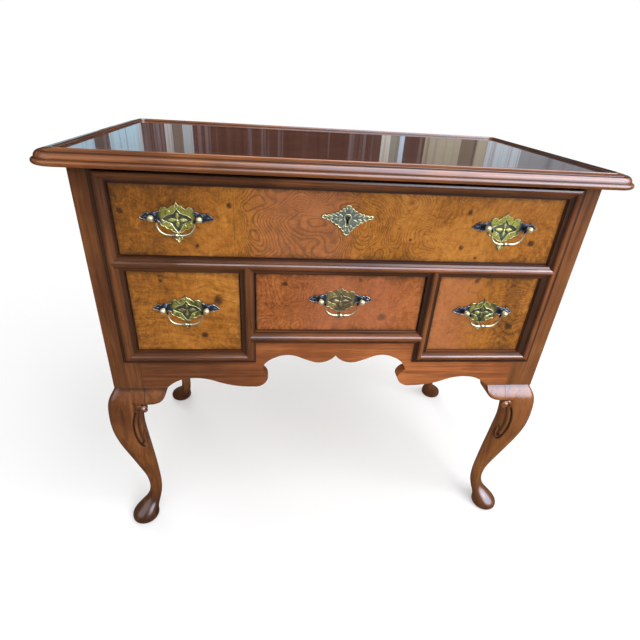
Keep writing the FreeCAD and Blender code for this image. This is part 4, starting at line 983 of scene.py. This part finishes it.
shape = bmesh.new()
tips = [(across, KEYHOLE_Z + up) for across, up in PLATE_TIPS]
outline = [place for i in range(4) for place in scallops(tips[i], tips[(i + 1) % 4])]
hole = [(across, up + KEYHOLE_Z) for across, up in [on_ring(a, 3.2) for a in range(-57, 238, 14)]
        + [(-1.7, -9.0), (1.7, -9.0)]]
sheet_between(shape, outline, hole, DRAWER_FACE, 0.0)
outward(shape)
for line, wide, tall, up in ((outline, 0.965, 0.955, 0.0), (hole, 1.75, 1.5, 1.2)):
    wire(shape, [(a * wide, 0.0, KEYHOLE_Z + (b - KEYHOLE_Z) * tall + up) for a, b in line], LINE_THICKNESS, True)
for side in (-1, 1):
    for across, up, turn, length in LEAVES:
        petal(shape, (side * across, 0.0, KEYHOLE_Z + up), side * turn, length, 1.4, 0.4)
    petal(shape, (side * PIN_REACH, -0.2, KEYHOLE_Z + PLATE_TIPS[0][1]), 0, 1.1, 1.1, 0.9)
made(shape, "escutcheon_plate", lock_brass, "top_drawer", "escutcheon", corner=40.0)

# ---- Studio ----
# A pale floor, a white surround and soft lamps; dark screens that only polish reflects.
scene = bpy.context.scene
scene.view_settings.view_transform = "Standard"

SENSOR_WIDTH, LENS_SHARE = 36.0, 431.4977 / 640
CAMERA_PLACE, CAMERA_TURNS = (-0.10584, -0.82457, 0.82875), (0.5077, 0.0652, 0.1194)
camera = in_scene("camera", bpy.data.cameras.new("camera"))
scene.camera = camera
camera.data.sensor_width = SENSOR_WIDTH
camera.data.lens = LENS_SHARE * SENSOR_WIDTH
camera.data.clip_start = 0.01
down, roll, yaw = CAMERA_TURNS
forward = Vector((math.sin(yaw) * math.cos(down), math.cos(yaw) * math.cos(down), -math.sin(down)))
level = Vector((math.cos(yaw), -math.sin(yaw), 0.0))
upward = level.cross(forward)
across = level * math.cos(roll) + upward * math.sin(roll)
upright = upward * math.cos(roll) - level * math.sin(roll)
place = Matrix((across, upright, -forward)).transposed().to_4x4()
place.translation = Vector(CAMERA_PLACE)
camera.matrix_world = place


def seen_or_mirrored(owner):
    """One for what the camera sees straight, mirrored or through glass; nothing for scattered light."""
    rays = wired(owner, "LightPath").outputs
    return greater(rays["Is Camera Ray"], greater(rays["Is Glossy Ray"], rays["Is Transmission Ray"]))


world = bpy.data.worlds.new("surround")
scene.world = world
world.use_nodes = True
world.node_tree.nodes.clear()
strength = times_plus(seen_or_mirrored(world.node_tree), 0.45, 0.55)
backing = wired(strength, "Background", {"Color": (1.0, 1.0, 1.0, 1.0), "Strength": strength})
wired(strength, "OutputWorld", {"Surface": backing.outputs[0]})

for lamp_name, lamp_place, aim, width, height, power, colour, mirrored in (
        ("key_lamp", (1.7, -1.5, 2.45), (0.0, 0.0, 0.45), 2.0, 1.4, 56.0, (0.97, 0.985, 1.0), True),
        ("front_strip", (0.80, -2.9, 1.72), (0.0, 0.0, 0.55), 2.4, 0.42, 28.0, (0.96, 0.98, 1.0), True),
        ("top_lamp", (0.15, -0.45, 2.6), (0.0, -0.2, 0.6), 2.2, 0.7, 22.0, (0.95, 0.98, 1.0), True),
        ("back_lamp", (-0.9, 2.2, 2.4), (0.0, 0.0, 0.6), 1.8, 0.9, 26.0, (1.0, 0.985, 0.96), False)):
    light = bpy.data.lights.new(lamp_name, "AREA")
    light.shape = "RECTANGLE"
    light.size, light.size_y = width, height
    light.energy = power
    light.color = colour
    holder = in_scene(lamp_name, light)
    holder.visible_glossy = mirrored
    holder.matrix_world = (Matrix.Translation(lamp_place)
                           @ (Vector(aim) - Vector(lamp_place)).to_track_quat("-Z", "Y").to_matrix().to_4x4())


def screen(shape, name, material):
    """A studio screen that only polish mirrors: it casts no shadow and lights nothing."""
    holder = finished(shape, name, material)
    holder.visible_camera = holder.visible_diffuse = holder.visible_shadow = False
    holder.visible_transmission = holder.visible_volume_scatter = False


def glowing(colour):
    glow = wired(colour, "Emission", {"Color": colour, "Strength": 1.0})
    wired(colour, "OutputMaterial", {"Surface": glow.outputs[0]})


# The dark tent: folded cloth with a bright, glowing opening on the right and a faint one on the left; polish mirrors
# them as painted light.
TENT_RADIUS, TENT_FOOT = 3.4, 0.003
TENT_CLOTH = ((0.34, (0.030, 0.018, 0.014)), (0.50, (0.075, 0.046, 0.035)), (0.66, (0.15, 0.105, 0.085)))
SKY_LIGHT, LEFT_LIGHT = (7.0, 8.2, 10.6), (1.6, 1.75, 2.0)
tent_dark, here = fresh("tent_cloth")
toward = wired(here, "VectorMath", {0: here}, operation="NORMALIZE").outputs[0]
lining = shade(mottle(stretched(here, (5.0, 5.0, 0.5)), 1.0, 3.0, 0.55), TENT_CLOTH)
for direction, wide, clear, light in (((0.50, -0.43, 0.75), 0.72, 0.92, SKY_LIGHT),
                                      ((-0.66, -0.42, 0.62), 0.86, 0.98, LEFT_LIGHT)):
    facing = wired(here, "VectorMath", {0: toward, 1: direction}, operation="DOT_PRODUCT").outputs["Value"]
    lining = mixed(spread(facing, wide, clear, steps="SMOOTHSTEP"), lining, light)
glowing(lining)
tent = bmesh.new()
outline = [(0.02, TENT_FOOT), (TENT_RADIUS, TENT_FOOT)] + [on_ring(a, TENT_RADIUS) for a in range(6, 91, 6)]
corners = [tent.verts.new((out, 0.0, up)) for out, up in outline]
edges = [tent.edges.new(pair) for pair in zip(corners, corners[1:])]
bmesh.ops.spin(tent, geom=corners + edges, cent=(0, 0, 0), axis=(0, 0, 1), angle=2 * math.pi, steps=48,
               use_merge=True)
bmesh.ops.remove_doubles(tent, verts=tent.verts, dist=0.001)
screen(tent, "dark_tent", tent_dark)

# The back screen: glowing upright strips of pale curtain and dark drape, each from its x to the next one's, which
# the polished top mirrors as a painted reflection.
SCREEN_LEFT, SCREEN_WIDTH, SCREEN_BACK, SCREEN_HEIGHT, SCREEN_MIDDLE = -1.6, 4.0, 2.2, 1.3, 0.95
DRAPE, CREAM, PALE_BLUE = (0.105, 0.048, 0.036), (0.52, 0.47, 0.36), (0.58, 0.84, 1.02)
BACK_PANELS = (
    (-1.60, PALE_BLUE), (-1.255, (0.10, 0.065, 0.050)), (-1.155, PALE_BLUE), (-0.966, (0.60, 0.60, 0.62)),
    (-0.950, DRAPE), (-0.805, (0.62, 0.62, 0.60)), (-0.757, (0.22, 0.17, 0.14)), (-0.702, (0.50, 0.56, 0.60)),
    (-0.632, DRAPE), (0.585, (0.78, 0.76, 0.68)), (0.64, (0.34, 0.33, 0.27)), (0.70, (0.72, 0.86, 1.10)),
    (0.74, DRAPE), (0.88, CREAM), (1.12, (0.22, 0.18, 0.14)), (1.23, CREAM), (1.31, (0.66, 0.76, 0.84)),
    (1.56, (0.34, 0.37, 0.41)))
back_screen, here = fresh("back_screen")
panels = shade(spread(axes(here)[0], SCREEN_LEFT, SCREEN_LEFT + SCREEN_WIDTH),
               [((x - SCREEN_LEFT) / SCREEN_WIDTH, colour) for x, colour in BACK_PANELS], "CONSTANT")
pleats = mottle(stretched(here, (15.0, 1.0, 0.15)), 1.0, 5.0, 0.75)
panels = mixed(times(spread(pleats, 0.46, 0.36), 0.5), panels, (0.05, 0.016, 0.010))
glowing(mixed(times(spread(pleats, 0.53, 0.62), 0.60), panels, (0.32, 0.26, 0.29)))
shape = bmesh.new()
bmesh.ops.create_grid(shape, x_segments=1, y_segments=1, size=0.5)
swung(shape, 90, "X", shape.verts)
put(shape, shape.verts, (SCREEN_WIDTH, 1.0, SCREEN_HEIGHT),
    (SCREEN_LEFT + SCREEN_WIDTH / 2, SCREEN_BACK, SCREEN_MIDDLE))
screen(shape, "back_screen", back_screen)

# The floor: paper that fades into the white surround away from the object.
floor_paper, here = fresh("pale_floor")
FADE_START, FADE_END = 0.5, 1.7
away = wired(here, "VectorMath", {0: here}, operation="LENGTH").outputs["Value"]
paper = spread(away, FADE_START, FADE_END, 0.3, 1.0, "SMOOTHSTEP")
lit = wired(here, "BsdfDiffuse", {"Color": (0.90, 0.90, 0.90, 1.0)}).outputs[0]
white = wired(here, "Emission", {"Color": (1.0, 1.0, 1.0, 1.0), "Strength": 1.0}).outputs[0]
blend = wired(here, "MixShader", {0: times(paper, seen_or_mirrored(here)), 1: lit, 2: white})
wired(here, "OutputMaterial", {"Surface": blend.outputs[0]})
shape = bmesh.new()
bmesh.ops.create_grid(shape, x_segments=1, y_segments=1, size=6.0)
finished(shape, "floor", floor_paper)
